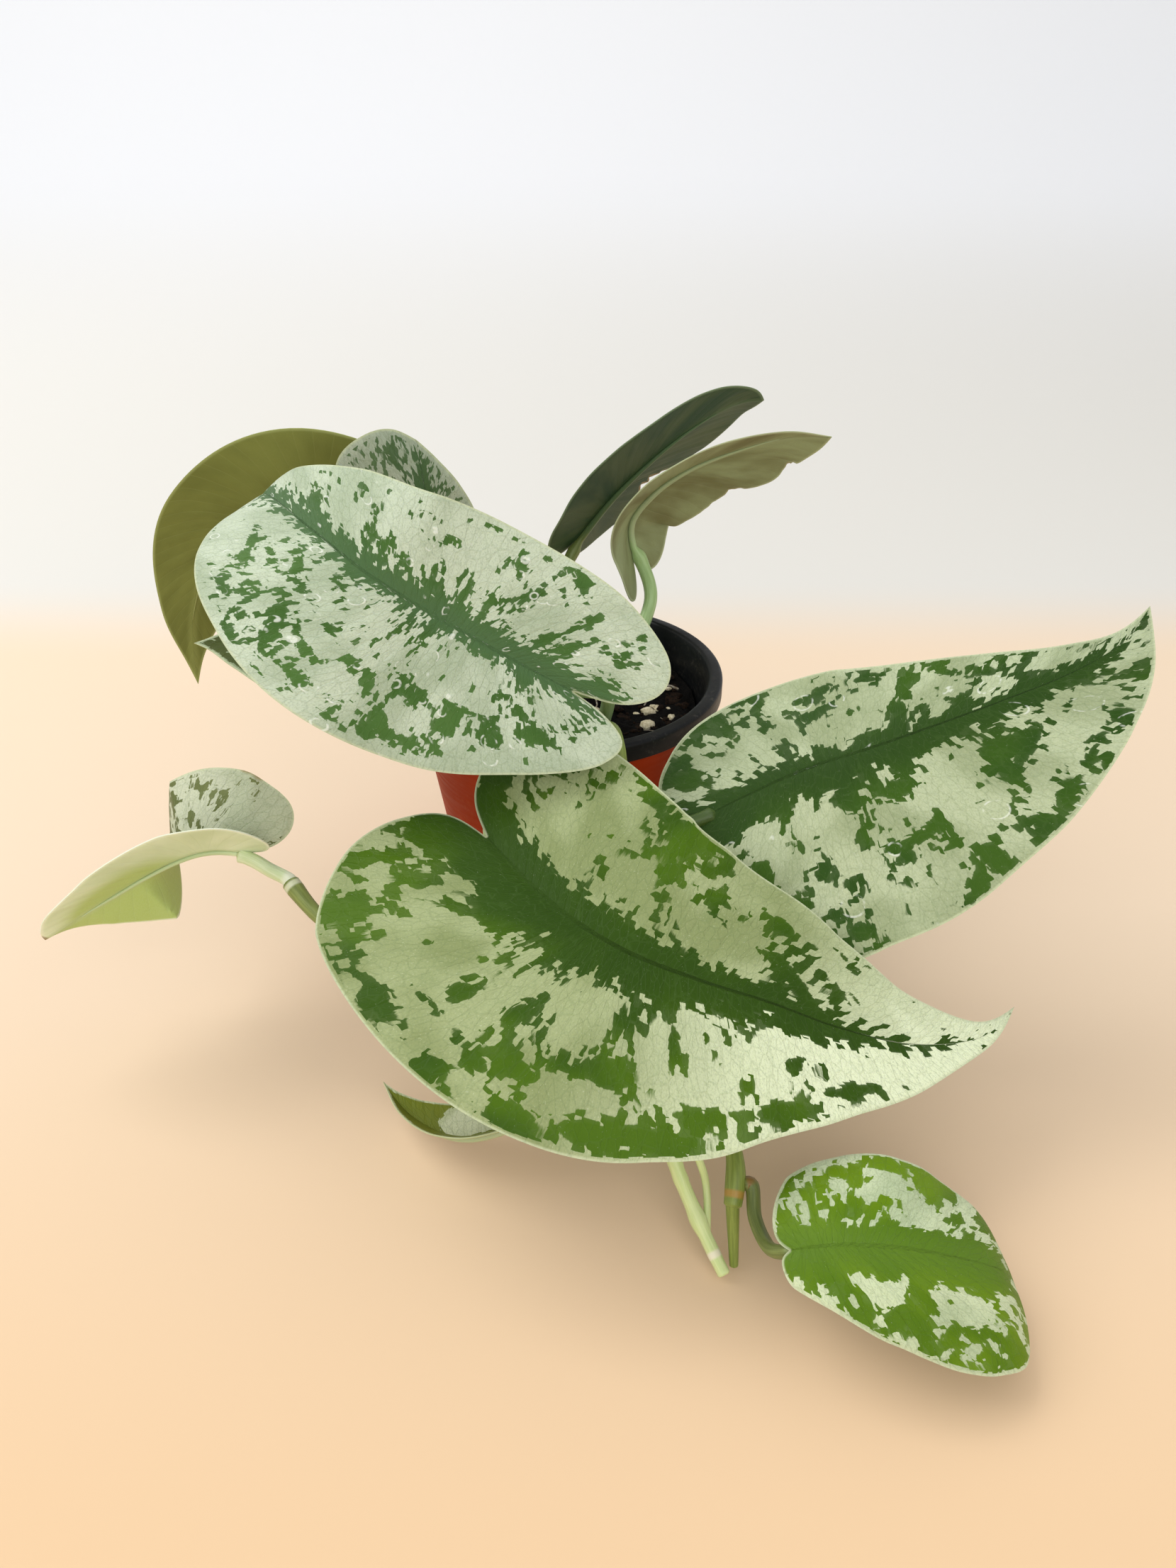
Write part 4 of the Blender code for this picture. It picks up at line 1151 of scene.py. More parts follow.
    def blade(self) -> Surface:
        """The blade as one closed skin.

        Each half is an arc whose angle starts at the lift and turns by the curl. Both
        faces carry the quilting, -depth (1 - |sin|^0.5) between the veins, and the upper
        one the groove, -depth exp(-(d / width)^2), over the midrib.

        Returns:
            The skin, with the fields that the two faces' finishes read.
        """
        plan = self.layout()
        rows, place, out, half, is_left = plan.rows, plan.place, plan.out, plan.half, plan.is_left
        lift = np.where(is_left, self._angle(self.left_lift, place), self._angle(self.right_lift, place))
        curl = np.where(is_left, self._angle(self.left_curl, place), self._angle(self.right_curl, place))
        curl = np.where(np.abs(curl) < 0.01, 0.01, curl)
        sideways = half * (np.sin(lift + curl * out) - np.sin(lift)) / curl
        rise = half * (np.cos(lift) - np.cos(lift + curl * out)) / curl
        ripple = np.sin(2 * math.pi * self.wave_count * rows[:, None] + np.where(is_left, 0.0, 2.0))
        flutter = lattice_noise(np.stack([rows[:, None] * self.FLUTTER_COUNT + 0 * out, is_left * 7.0,
                                          0 * out], axis=-1), 3)
        rise = rise + self.wave * out**2 * ripple + self.FLUTTER_HEIGHT * out**4 * flutter
        sideways = plan.sign * sideways
        grid = (self._read(self.line, place) + self._read(self.left, place) * sideways[..., None]
                + self._read(self.up, place) * rise[..., None])
        rib = np.abs(plan.flat[..., 1])
        edge = self._edge_distance(plan.flat, plan.edge)
        veins = self._vein_places(plan, grid)
        quilt = np.abs(np.sin(math.pi * veins[..., 0] / self.QUILT_SPACING)) ** 0.5 - 1
        quilt = quilt * self.QUILT_DEPTH * smooth_step(2.0, 12.0, rib) * smooth_step(0.0, 5.0, edge)
        groove = -self.GROOVE_DEPTH * np.exp(-(rib / self.GROOVE_WIDTH) ** 2) * (1 - rows[:, None]) ** 0.5
        swell = (self.HALF_THICKNESS - self.MARGIN_THICKNESS) * smooth_step(0, self.MARGIN_WIDTH, edge)
        thick = self.MARGIN_THICKNESS + swell
        normal = self._normals(grid)
        upper = grid + normal * (thick + quilt + groove)[..., None]
        lower = grid - normal * (thick - quilt)[..., None]
        worn = self.worn_tip * smooth_step(0.955, 0.995, place) + np.clip(plan.bitten * 3, 0, 1) * (
            1 - smooth_step(0.4, 1.6, edge))
        for x, y, spot_reach in self.worn_spots:
            worn = worn + np.exp(-((plan.flat - (x, y)) ** 2).sum(axis=-1) / spot_reach**2)
        fields = {"vein": veins, "rib": rib, "edge": edge, "worn": np.clip(worn, 0, 1),
                  "band": self._band(place, is_left) - rib, "mark": self._marks(plan, grid)}
        return self._close(upper, lower, fields)

    def _band(self, place: Array, is_left: Array) -> Array:
        """Half width of the green along the midrib, gone just before the tip.

        Args:
            place: places along the midrib, 0 to 1.
            is_left: which of them lie on the left half.

        Returns:
            The half width at each, in millimetres.
        """
        left, right = ((*ends, -3.0) for ends in self.pattern.bands)
        stops = (0.0, 0.84, 0.95)
        return np.where(is_left, np.interp(place, stops, left), np.interp(place, stops, right))

    @staticmethod
    def _vein_places(plan: BladePlan, grid: Array) -> Array:
        """Place across the veins, by the spacing of the rows at 0.6 of the way out, and along them.

        Args:
            plan: the blade's layout.
            grid: its points, in millimetres.

        Returns:
            Across, along and the half's own shift, in millimetres.
        """
        result = np.zeros((*plan.place.shape, 3))
        for half, sign in ((plan.is_left, 1.0), (~plan.is_left, -1.0)):
            column = int(np.argmin(np.abs(plan.across - 0.6 * sign)))
            steps = np.linalg.norm(np.diff(grid[:, column], axis=0), axis=1)
            run = np.concatenate([[0.0], np.cumsum(steps)])
            result[..., 0] = np.where(half, run[:, None], result[..., 0])
        result[..., 1] = plan.sign * plan.reach * np.linalg.norm(plan.vein, axis=-1)
        result[..., 2] = plan.is_left * Leaf.LEFT_SHIFT
        return result

    def _marks(self, plan: BladePlan, grid: Array) -> Array:
        """Sum of all marks, each weight exp(-(across / reach)^2 - (along / reach)^2).

        The veins have no length at the pointed ends, so those take their neighbours' way.

        Args:
            plan: the blade's layout.
            grid: its points, in millimetres.

        Returns:
            The sum at each point.
        """
        total = np.zeros(plan.place.shape)
        way = unit(plan.vein)
        way[0], way[-1] = way[1], way[-2]
        seen = self.seen.on_leaf(grid[1:-1], plan.flat[1:-1], way[1:-1]) if self.seen else []
        for x, y, across_reach, along_reach, weight in (*self.pattern.marks, *seen):
            gap = plan.flat - (x, y)
            along = (gap * way).sum(axis=-1)
            across = gap[..., 0] * way[..., 1] - gap[..., 1] * way[..., 0]
            total += weight * np.exp(-((along / along_reach) ** 2) - (across / across_reach) ** 2)
        return total

    def _read(self, values: Array, place: Array) -> Array:
        """Reads one of the spine's vector rows at places along the midrib."""
        return read_rows(values, self.place, place)

    @staticmethod
    def _edge_distance(flat: Array, outline: Array) -> Array:
        """Flat distance from each point to the nearest outline point of its own half.

        Args:
            flat: the points' places along and out from the midrib, in millimetres.
            outline: the rows' ends on the outline.

        Returns:
            The distances, in millimetres.
        """
        result = np.zeros(flat.shape[:2])
        middle = flat.shape[1] // 2
        for columns, sign, source in ((slice(0, middle + 1), -1, 0), (slice(middle, None), 1, -1)):
            known = outline[:, source] * (1, sign)
            fine = np.linspace(0, len(known) - 1, 3 * len(known))
            places = np.arange(len(known))
            line = np.stack([np.interp(fine, places, known[:, k]) for k in range(2)], axis=-1)
            points = flat[:, columns]
            gap = np.full(points.shape[:2], 1e9)
            for part in np.array_split(line, len(line) // Leaf.OUTLINE_PART + 1):
                gap = np.minimum(gap, ((points[:, :, None] - part) ** 2).sum(axis=-1).min(axis=-1))
            result[:, columns] = np.sqrt(gap)
        result[:, (0, -1)] = 0
        return result

    @staticmethod
    def _normals(grid: Array) -> Array:
        """Upward unit normals of the grid, with the two pointed ends averaged.

        Args:
            grid: the blade's points.

        Returns:
            The normal at each.
        """
        normal = np.cross(np.gradient(grid, axis=0), np.gradient(grid, axis=1))
        normal[0] = normal[1].sum(axis=0)
        normal[-1] = normal[-2].sum(axis=0)
        return unit(normal)

    @staticmethod
    def _close(upper: Array, lower: Array, fields: dict) -> Surface:
        """Joins the two faces along the margin and at the pointed ends.

        Args:
            upper: the upper face's grid of points.
            lower: the lower face's.
            fields: names to values over that grid.

        Returns:
            The closed skin, with material 0 on the upper face and 1 elsewhere.
        """
        rows, columns = upper.shape[:2]
        inner = slice(1, rows - 1)
        face_size = (rows - 2) * columns + 2

        def pack(values: Array) -> Array:
            """One point for each pointed end and all points between."""
            flat = values[inner].reshape(-1, *values.shape[2:])
            return np.concatenate([flat, values[0, :1], values[-1, :1]])

        points = np.concatenate([pack(upper), pack(lower)])
        base, tip = face_size - 2, face_size - 1
        sheet = grid_faces(rows - 2, columns)
        last = (rows - 3) * columns
        k = np.arange(columns - 1)
        base_fan = np.stack([np.full(k.size, base), k + 1, k], axis=-1)
        tip_fan = np.stack([last + k, last + k + 1, np.full(k.size, tip)], axis=-1)
        faces = sheet.tolist() + base_fan.tolist() + tip_fan.tolist()
        top_count = len(faces)
        faces += [[index + face_size for index in reversed(face)] for face in faces]
        right = np.arange(rows - 2) * columns
        ring = np.concatenate([[base], right, [tip], right[::-1] + columns - 1])
        after = np.roll(ring, -1)
        faces += np.stack([ring, after, after + face_size, ring + face_size], axis=-1).tolist()
        material = np.ones(len(faces), int)
        material[:top_count] = 0
        packed = {name: np.concatenate([pack(values)] * 2) for name, values in fields.items()}
        return Surface(points, faces, material, packed)

    def stalk_surface(self, stems: dict) -> Surface:
        """The stalk, a little grooved and swollen at both ends, running on as the raised rib.

        Its radius is the stalk's own times 1 + 0.10 exp(-(t / 0.08)^2)
        + 0.12 exp(-((t - 0.93) / 0.05)^2), and goes over to the rib's in the last stretch.

        Args:
            stems: node names to stems.

        Returns:
            The stalk and the rib as one tube.
        """
        places = np.linspace(0.02, self.RIB_REACH, 40)
        start_radius = min(self.rib_radius, self.stalk_radius)
        rib_radii = np.interp(places, (0, 0.62, self.RIB_REACH), (start_radius, 0.5, 0.2))
        rib = self._read(self.line, places) - self._rib_side(places) * (rib_radii + 0.2)[:, None]
        points = (*self.stalk, tuple(rib[0]))
        count = 70
        if self.seat:
            start, out = seat_on(self.seat, stems)
            points = (tuple(start), tuple(start + out * 1.5), *points)
        path = even_path(points, count)
        t = np.linspace(0, 1, count)
        swell = 1 + 0.10 * np.exp(-(t / 0.08) ** 2) + 0.12 * np.exp(-((t - 0.93) / 0.05) ** 2)
        radii = self.stalk_radius * swell + (rib_radii[0] - self.stalk_radius) * smooth_step(0.93, 1.0, t)
        stalk_length = float(np.linalg.norm(np.diff(path, axis=0), axis=1).sum())
        path = np.concatenate([path[:-1], rib])
        radii = np.concatenate([radii[:-1], rib_radii])
        surface = tube_surface(path, radii, 18, material=2, flat=0.12)
        along = surface.fields["along"]
        joint = 0.8 * np.exp(-((along - 1.0) / self.joint_reach) ** 2) if self.seat else 0
        surface.fields["joint"] = 0 * along + joint
        surface.fields["blade"] = 0.9 * smooth_step(stalk_length - 2, stalk_length + 7, along)
        return surface

    def _rib_side(self, places: Array) -> Array:
        """Upward direction square to the mean of both halves: up (cos a + cos b) - left (sin a - sin b).

        a and b are the lifts of the left and the right half at the midrib.

        Args:
            places: places along the midrib, 0 to 1.

        Returns:
            The unit direction at each.
        """
        a, b = (self._angle(lift, places)[:, None] for lift in (self.left_lift, self.right_lift))
        up, left = self._read(self.up, places), self._read(self.left, places)
        return unit(up * (np.cos(a) + np.cos(b)) - left * (np.sin(a) - np.sin(b)))

    def build(self, stems: dict) -> bpy.types.Object:
        """Makes the leaf's object, which stands for its node.

        Args:
            stems: node names to stems.

        Returns:
            The new object.
        """
        surface = join_surfaces([self.blade(), self.stalk_surface(stems)])
        materials = [
            SatinUpperFace(self.pattern).material(self.node + "_satin_upper_face"),
            self.under.material(self.node + "_underside"),
            replace(self.skin, rib=self.under.vein).material(self.node + "_stalk_skin"),
        ]
        item = make_object(self.node + "_blade", surface, materials)
        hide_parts(self.node)
        return item


# Stems

@dataclass
class Stem:
    """One trailing stem in millimetres, swollen and ringed at its leaf joints.

    seat is where it grows from another stem, if it isn't planted in the mix.
    """
    node: str
    route: tuple
    radius: float
    joints: tuple = ()
    # Places of coloured rings, where they aren't at the joints
    rings: tuple = ()
    tip_radius: float = 1.6
    branches: tuple = ()
    seat: tuple = ()
    skin: StemSkin = StemSkin(base="#6d7434", streak="#4b5420", joint="#8f5a22")
    slot: str = "vine_bark"

    # Rings of the stem's solid, which the seats are read from, and of the surface here
    RINGS = 24
    FINE_RINGS = 170
    SIDES = 20
    # Place past which a joint bears no nubs, since a leaf takes up the stem's end
    LAST_NUBS = 0.95

    def radii(self, place: Array) -> Array:
        """Radius along the stem: tapered past 0.7, plus 0.5 exp(-((x - joint) / 0.03)^2).

        Args:
            place: places along the stem, 0 to 1.

        Returns:
            The radius at each.
        """
        radii = np.interp(place, (0, 0.7, 1), (self.radius, self.radius, self.tip_radius))
        for joint in self.joints:
            radii = radii + 0.5 * np.exp(-((place - joint) / 0.03) ** 2)
        return radii

    def path(self, stems: dict, count: int) -> Array:
        """The stem's centre line, square to its seat where it has one.

        Args:
            stems: node names to stems.
            count: number of points.

        Returns:
            The points.
        """
        if not self.seat:
            return even_path(self.route, count)
        start, out = seat_on(self.seat, stems)
        return even_path((tuple(start), tuple(start + out * 1.5), *self.route), count)

    def build(self, stems: dict) -> bpy.types.Object:
        """Makes the stem with its branches, ring scars and root nubs.

        Args:
            stems: node names to stems.

        Returns:
            The new object, which stands for the stem's node.
        """
        path = self.path(stems, self.FINE_RINGS)
        place = np.linspace(0, 1, self.FINE_RINGS)
        knobbly = 0.10 * lattice_noise(np.stack([place * 40, 0 * place, 0 * place], axis=-1), 8)
        main = tube_surface(path, self.radii(place) + knobbly, self.SIDES)
        length = main.fields["along"].max()
        joint = np.zeros(main.count())
        for where in self.rings or self.joints:
            joint = joint + np.exp(-((main.fields["along"] / length - where) * length / 1.5) ** 2)
        main.fields["joint"] = np.clip(joint, 0, 1)
        parts = [main]
        for route, start_radius, end_radius in self.branches:
            side_path = even_path(route, 50)
            parts.append(tube_surface(side_path, np.linspace(start_radius, end_radius, 50), 16))
        parts.extend(self._nubs(path))
        skin = self.skin.material(self.node + "_skin")
        item = make_object(self.node + "_stem", join_surfaces(parts), [skin])
        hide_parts(self.node)
        return item

    def _nubs(self, path: Array) -> list:
        """Short root nubs just below each joint, on the side that faces down.

        Args:
            path: the stem's centre line.

        Returns:
            The nubs' surfaces.
        """
        nubs = []
        rings = np.linspace(0, 1, len(path))
        for number, where in enumerate(self.joints):
            if where > self.LAST_NUBS:
                continue
            centre, along = (read_rows(values, rings, np.array([where]))[0]
                             for values in (path, np.gradient(path, axis=0)))
            along = unit(along)
            down = unit(np.array([0.3 * (-1) ** number, 0.0, -1.0]) + along * along[2])
            for turn in (-0.5, 0.5):
                way = unit(down * math.cos(turn) + np.cross(along, down) * math.sin(turn))
                reach = np.linspace(self.radius * 0.6, self.radius + 1.4, 8)[:, None]
                nub = tube_surface(centre + way * reach, np.linspace(0.55, 0.3, 8), 8)
                nub.fields["joint"] = np.full(nub.count(), 0.8)
                nubs.append(nub)
        return nubs


def seat_on(seat: tuple, stems: dict) -> tuple[Array, Array]:
    """Start and direction of a stalk or shoot that grows from a stem.

    It lies one clearance off the stem's skin, or off its cut end where no side is given.

    Args:
        seat: the stem's node, the place along it and the side that it faces.
        stems: node names to stems.

    Returns:
        The start point and the unit direction away from the stem.
    """
    name, place, side = seat
    stem = stems[name]
    path = even_path(stem.route, Stem.RINGS)
    rings = np.linspace(0, 1, Stem.RINGS)
    point = read_rows(path, rings, np.array([place]))[0]
    direction = unit(read_rows(np.gradient(path, axis=0), rings, np.array([place]))[0])
    if not side:
        return point + direction * SEAT_GAP, direction
    wanted = np.array(side, float)
    out = unit(wanted - (wanted @ direction) * direction)
    return point + out * (float(stem.radii(np.array([place]))[0]) + SEAT_GAP), out


# Pot and mix

@dataclass
class NurseryPot:
    """Black inner pot with a rolled rim, set in a terracotta-coloured outer pot."""
    rim_radius: float = 54.0
    height: float = 95.0
    base_radius: float = 38.0
    shoulder_radius: float = 51.5
    wall: float = 1.2
    skirt_height: float = 6.5
    foot: float = 2.0
    # Radii of the rim's outer and inner round, and the bevel of the skirt's edge
    rim_round: float = 1.3
    mouth_round: float = 1.5
    bevel: float = 0.3
    sides: int = 200
    drain_holes: int = 6
    drain_radius: float = 3.5
    drain_circle: float = 25.0
    terracotta: MouldedPlastic = MouldedPlastic("#a63706", "#8f2b03", "#b8754c", 0.06, 0.5, 0.08)
    black: MouldedPlastic = MouldedPlastic("#131516", "#0c0d0e", "#5c574e", 0.12, 0.40, 0.18)

    # Edges that bend by more degrees than this stay sharp
    CREASE = 35
    DRILL_LENGTH = 14
    ARC_POINTS = 7

    @property
    def shell_top(self) -> float:
        """Height of the outer pot's top edge."""
        return self.height - 2 * self.wall

    def wall_radius(self, height: float) -> float:
        """Outer radius of the outer pot's straight wall."""
        return self.base_radius + (self.shoulder_radius - self.base_radius) * height / self.shell_top

    def liner_radius(self, height: float) -> float:
        """Outer radius of the inner pot's wall, one clearance inside the outer one."""
        return self.wall_radius(height) - self.wall - GAP - 0.1

    @staticmethod
    def arc(centre: tuple, radius: float, start: float, end: float) -> list:
        """Round corner of the profile: centre + radius (cos a, sin a), with a in degrees."""
        angles = np.radians(np.linspace(start, end, NurseryPot.ARC_POINTS))
        return [(centre[0] + radius * math.cos(a), centre[1] + radius * math.sin(a)) for a in angles]

    def turned(self, name: str, profile: list, finish: MouldedPlastic) -> bpy.types.Object:
        """Turns a profile of radius and height round the vertical axis, and drills the drain holes.

        A point is (r cos a, r sin a, z), with the two points on the axis shared.

        Args:
            name: the object's name.
            profile: radius and height of each point, from axis to axis.
            finish: what the wall is dressed in.

        Returns:
            The new object.
        """
        angle = np.linspace(0, 2 * math.pi, self.sides, endpoint=False)
        rows = np.array(profile[1:-1], float)
        ring = np.stack([np.cos(angle), np.sin(angle)], axis=-1)
        rings = np.concatenate([rows[:, None, :1] * ring[None], np.broadcast_to(
            rows[:, None, 1:], (len(rows), self.sides, 1))], axis=-1)
        points, faces = closed_rings(rings, (0, 0, profile[0][1]), (0, 0, profile[-1][1]))
        surface = Surface(points, faces, np.zeros(len(faces)))
        item = make_object(name, surface, [finish.material(name + "_plastic")], self.CREASE)
        self._drill(item)
        return item

    def _drill(self, item: bpy.types.Object) -> None:
        """Cuts the ring of drain holes through the floor.

        Args:
            item: the pot's object, which gets a new mesh.
        """
        cutter_mesh = bpy.data.meshes.new("drill")
        drill = bmesh.new()
        for number in range(self.drain_holes):
            turn = 2 * math.pi * number / self.drain_holes
            place = Matrix.Translation(Vector((math.cos(turn), math.sin(turn), 0)) * self.drain_circle * MM)
            bmesh.ops.create_cone(drill, cap_ends=True, segments=40, radius1=self.drain_radius * MM,
                                  radius2=self.drain_radius * MM, depth=self.DRILL_LENGTH * MM, matrix=place)
        drill.to_mesh(cutter_mesh)
        drill.free()
        cutter = bpy.data.objects.new("drill", cutter_mesh)
        bpy.context.scene.collection.objects.link(cutter)
        modifier = item.modifiers.new("drill", "BOOLEAN")
        modifier.operation = "DIFFERENCE"
        modifier.object = cutter
        bpy.context.view_layer.update()
        drilled = bpy.data.meshes.new_from_object(item.evaluated_get(bpy.context.evaluated_depsgraph_get()))
        item.modifiers.clear()
        item.data = drilled
        bpy.data.objects.remove(cutter, do_unlink=True)
        drilled.shade_smooth()
        drilled.set_sharp_from_angle(angle=math.radians(self.CREASE))

    def build_shell(self) -> bpy.types.Object:
        """Outer pot: straight tapered wall on a rounded foot.

        Returns:
            The new object.
        """
        foot, wall, top = self.foot, self.wall, self.shell_top
        heights = np.linspace(foot, top - 0.4, 12)
        outer = [(self.wall_radius(h), h) for h in heights]
        inner = [(self.wall_radius(h) - wall, h) for h in heights[::-1]]
        radius = self.base_radius
        profile = [(0, 0), (radius * 0.5, 0), (radius - foot - 0.4, 0)]
        profile += self.arc((radius - foot, foot), foot * 0.999, -85, -8)
        profile += outer
        profile += [(self.shoulder_radius - 0.15, top), (self.shoulder_radius - wall + 0.15, top)]
        profile += inner
        profile += [(radius - foot, wall), (radius * 0.5, wall), (0, wall)]
        item = self.turned("pot_shell_terracotta", profile, self.terracotta)
        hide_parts("pot_shell")
        return item

    def build_liner(self) -> bpy.types.Object:
        """Inner pot: its wall turns out over the shell's edge in a rolled rim with a skirt.

        Returns:
            The new object.
        """
        wall, top, rim = self.wall, self.height, self.rim_radius
        floor, heel = wall + GAP, 2 * self.foot
        low = top - self.skirt_height
        under = top - wall
        heights = np.linspace(heel, under - 1.2, 12)
        profile = [(0, floor), (self.base_radius * 0.5, floor), (self.base_radius - heel, floor)]
        profile += [(self.liner_radius(h), h) for h in heights]
        profile += [(self.liner_radius(under) + 0.6, under)]
        bevel, outer, inner = self.bevel, self.rim_round, self.mouth_round
        profile += [(rim - wall - 0.5, under), (rim - wall - 0.1, under - 0.5), (rim - wall, low + bevel)]
        profile += [(rim - wall + bevel, low), (rim - bevel, low), (rim, low + bevel)]
        profile += self.arc((rim - outer, top - outer), outer, 0, 90)
        mouth = self.liner_radius(top) - wall
        profile += self.arc((mouth + inner + 0.2, top - inner), inner, 90, 170)
        profile += [(self.liner_radius(h) - wall, h) for h in heights[::-1]]
        profile += [(self.base_radius - heel - wall, floor + wall), (self.base_radius * 0.5, floor + wall),
                    (0, floor + wall)]
        item = self.turned("pot_liner_black", profile, self.black)
        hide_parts("pot_liner")
        return item


@dataclass
class PottingMix:
    """Black peat and bark mix with perlite, filling the inner pot."""
    pot: NurseryPot
    level: float = 82.0
    rings: int = 120
    sides: int = 300
    # Count, smallest and largest radius, and stretch of the bark chips and the perlite
    bark_count: int = 420
    bark_size: tuple = (0.5, 2.0)
    bark_stretch: tuple = (1.5, 1.0, 0.6)
    perlite_count: int = 60
    perlite_size: tuple = (0.7, 3.2)
    perlite_stretch: tuple = (1.15, 1.0, 0.9)
    # Perlite and pale bark that show in the photo: place across and back, and radius
    pale_lumps: tuple = ((35.0, 25.2, 2.8), (32.4, 27.4, 1.7), (33.6, 15.6, 2.6), (36.5, 12.0, 1.7),
                         (28.6, -6.0, 2.2), (31.5, -3.0, 1.6), (33.0, 20.5, 1.4), (29.0, 9.0, 1.5))
    fibre_count: int = 40
    # The pale string that shows in the photo
    string: tuple = ((24.0, 1.0, 83.2), (28.0, 5.5, 84.6), (32.5, 6.0, 84.9), (36.5, 8.5, 84.2),
                     (40.0, 8.0, 83.0))
    seed: int = 11
    peat: LooseMatter = LooseMatter("#020202", "#0f0c09", 1.6)
    bark: LooseMatter = LooseMatter("#0a0705", "#2a1d13", 1.0)
    perlite: LooseMatter = LooseMatter("#b9ab86", "#e6dcc0", 0.9, 0.9)
    fibre: LooseMatter = LooseMatter("#6a5a44", "#b9b2a2", 0.8, 0.8)

    def height(self, x: Array, y: Array) -> Array:
        """Height of the mix: the level + broad waves 1.2 mm high + finer ones + 1.1 times a crumb.

        Args:
            x: places across.
            y: places back.

        Returns:
            The height at each.
        """
        broad = 1.2 * np.sin(0.11 * x + 0.6) * np.cos(0.13 * y - 0.4)
        fine = 0.48 * np.sin(0.43 * x - 1.0) * np.sin(0.37 * y + 2.0)
        crumb = crumbled(np.stack([x, y, 0 * x], axis=-1), 5.0, 4, self.seed)
        return self.level - 0.4 + broad + fine + 1.1 * crumb

    def bed(self) -> Surface:
        """The mix itself: a polar grid on top, closed by its side and floor.

        Returns:
            The closed surface.
        """
        clear = self.pot.wall + GAP + 0.3
        edge = self.pot.liner_radius(self.level - 3) - clear
        radius = edge * np.linspace(1, 0.01, self.rings)
        angle = np.linspace(0, 2 * math.pi, self.sides, endpoint=False)
        x, y = radius[:, None] * np.cos(angle), radius[:, None] * np.sin(angle)
        z = self.height(x, y)
        z[0] = self.level - 3.0
        low = 2 * (self.pot.wall + GAP) + 0.3
        wall_rows = [np.stack([reach * np.cos(angle), reach * np.sin(angle), 0 * angle + height], axis=-1)
                     for height, reach in ((low, self.pot.base_radius - 6.0),
                                           (7.0, self.pot.liner_radius(6.0) - clear))]
        rings = np.concatenate([np.stack(wall_rows), np.stack([x, y, z], axis=-1)])
        points, faces = closed_rings(rings, (0, 0, low), (0, 0, float(z[-1].mean())))
        return Surface(points, faces, np.zeros(len(faces)))

    def lumps(self, count: int, size: tuple, stretch: tuple, material: int, fineness: int, seed: int,
              placed: tuple = ()) -> Surface:
        """Angular lumps lying in the surface.

        Each is a ball pushed in and out by a lattice field and squeezed to its stretch.

        Args:
            count: how many.
            size: smallest and largest radius.
            stretch: scale of the three axes.
            material: face material number.
            fineness: subdivisions of the ball.
            seed: seed of the draw.
            placed: further lumps, each as its place across and back and its radius.

        Returns:
            All lumps as one surface.
        """
        draw = np.random.default_rng(seed)
        ball = bmesh.new()
        bmesh.ops.create_icosphere(ball, subdivisions=fineness, radius=1.0)
        mesh = bpy.data.meshes.new("ball")
        ball.to_mesh(mesh)
        ball.free()
        shape = np.empty((len(mesh.vertices), 3))
        mesh.vertices.foreach_get("co", shape.ravel())
        faces = np.empty((len(mesh.polygons), 3), np.int32)
        mesh.loops.foreach_get("vertex_index", faces.ravel())
        bpy.data.meshes.remove(mesh)
        limit = self.pot.liner_radius(self.level) - self.pot.wall - 2.2 - size[1]
        radius = limit * np.sqrt(draw.uniform(0, 1, count))
        turn = draw.uniform(0, 2 * math.pi, count)
        x, y = radius * np.cos(turn), radius * np.sin(turn)
        scale = size[0] + (size[1] - size[0]) * draw.uniform(0, 1, count) ** 2
        if placed:
            x, y, scale = (np.concatenate(pair) for pair in zip((x, y, scale), np.array(placed).T))
            count = len(x)
        z = self.height(x, y) + scale * 0.15
        spin = unit(draw.normal(size=(count, 3)))
        cross = unit(np.cross(spin, draw.normal(size=(count, 3))))
        third = np.cross(spin, cross)
        rough = 1 + 0.30 * lattice_noise(shape[None] * 1.7 + draw.uniform(0, 90, (count, 1, 3)), 2)
        body = shape[None] * rough[..., None] * np.array(stretch) * scale[:, None, None]
        flat = np.array([1.0, 1.0, 0.55])
        points = (body[..., :1] * spin[:, None] + body[..., 1:2] * cross[:, None]
                  + body[..., 2:] * third[:, None])
        points = points * flat + np.stack([x, y, z], axis=-1)[:, None]
        every = (faces[None] + np.arange(count)[:, None, None] * len(shape)).reshape(-1, 3)
        return Surface(points.reshape(-1, 3), every.tolist(), np.full(len(every), material))

    def fibres(self) -> list:
        """Short bent root and coir fibres on top of the mix, the pale string first.

        Returns:
            The fibres' surfaces.
        """
        draw = np.random.default_rng(self.seed + 5)
        limit = self.pot.liner_radius(self.level) - self.pot.wall - 8
        threads = [tube_surface(even_path(self.string, 24), np.full(24, 0.45), 8, material=3)]
        for _ in range(self.fibre_count):
            radius, turn = limit * math.sqrt(draw.uniform(0, 1)), draw.uniform(0, 2 * math.pi)
            way = draw.uniform(0, 2 * math.pi)
            reach = draw.uniform(3, 9)
            steps = np.linspace(-0.5, 0.5, 10) * reach
            bend = draw.uniform(-1.5, 1.5) * np.cos(steps / reach * 3)
            x = radius * math.cos(turn) + steps * math.cos(way) - bend * math.sin(way)
            y = radius * math.sin(turn) + steps * math.sin(way) + bend * math.cos(way)
            z = self.height(x, y) + 0.5
            z = np.convolve(np.pad(z, 1, mode="edge"), np.ones(3) / 3, mode="valid")
            thick = draw.uniform(0.12, 0.3)
            threads.append(tube_surface(np.stack([x, y, z], axis=-1), np.full(10, thick), 6, material=3))
        return threads

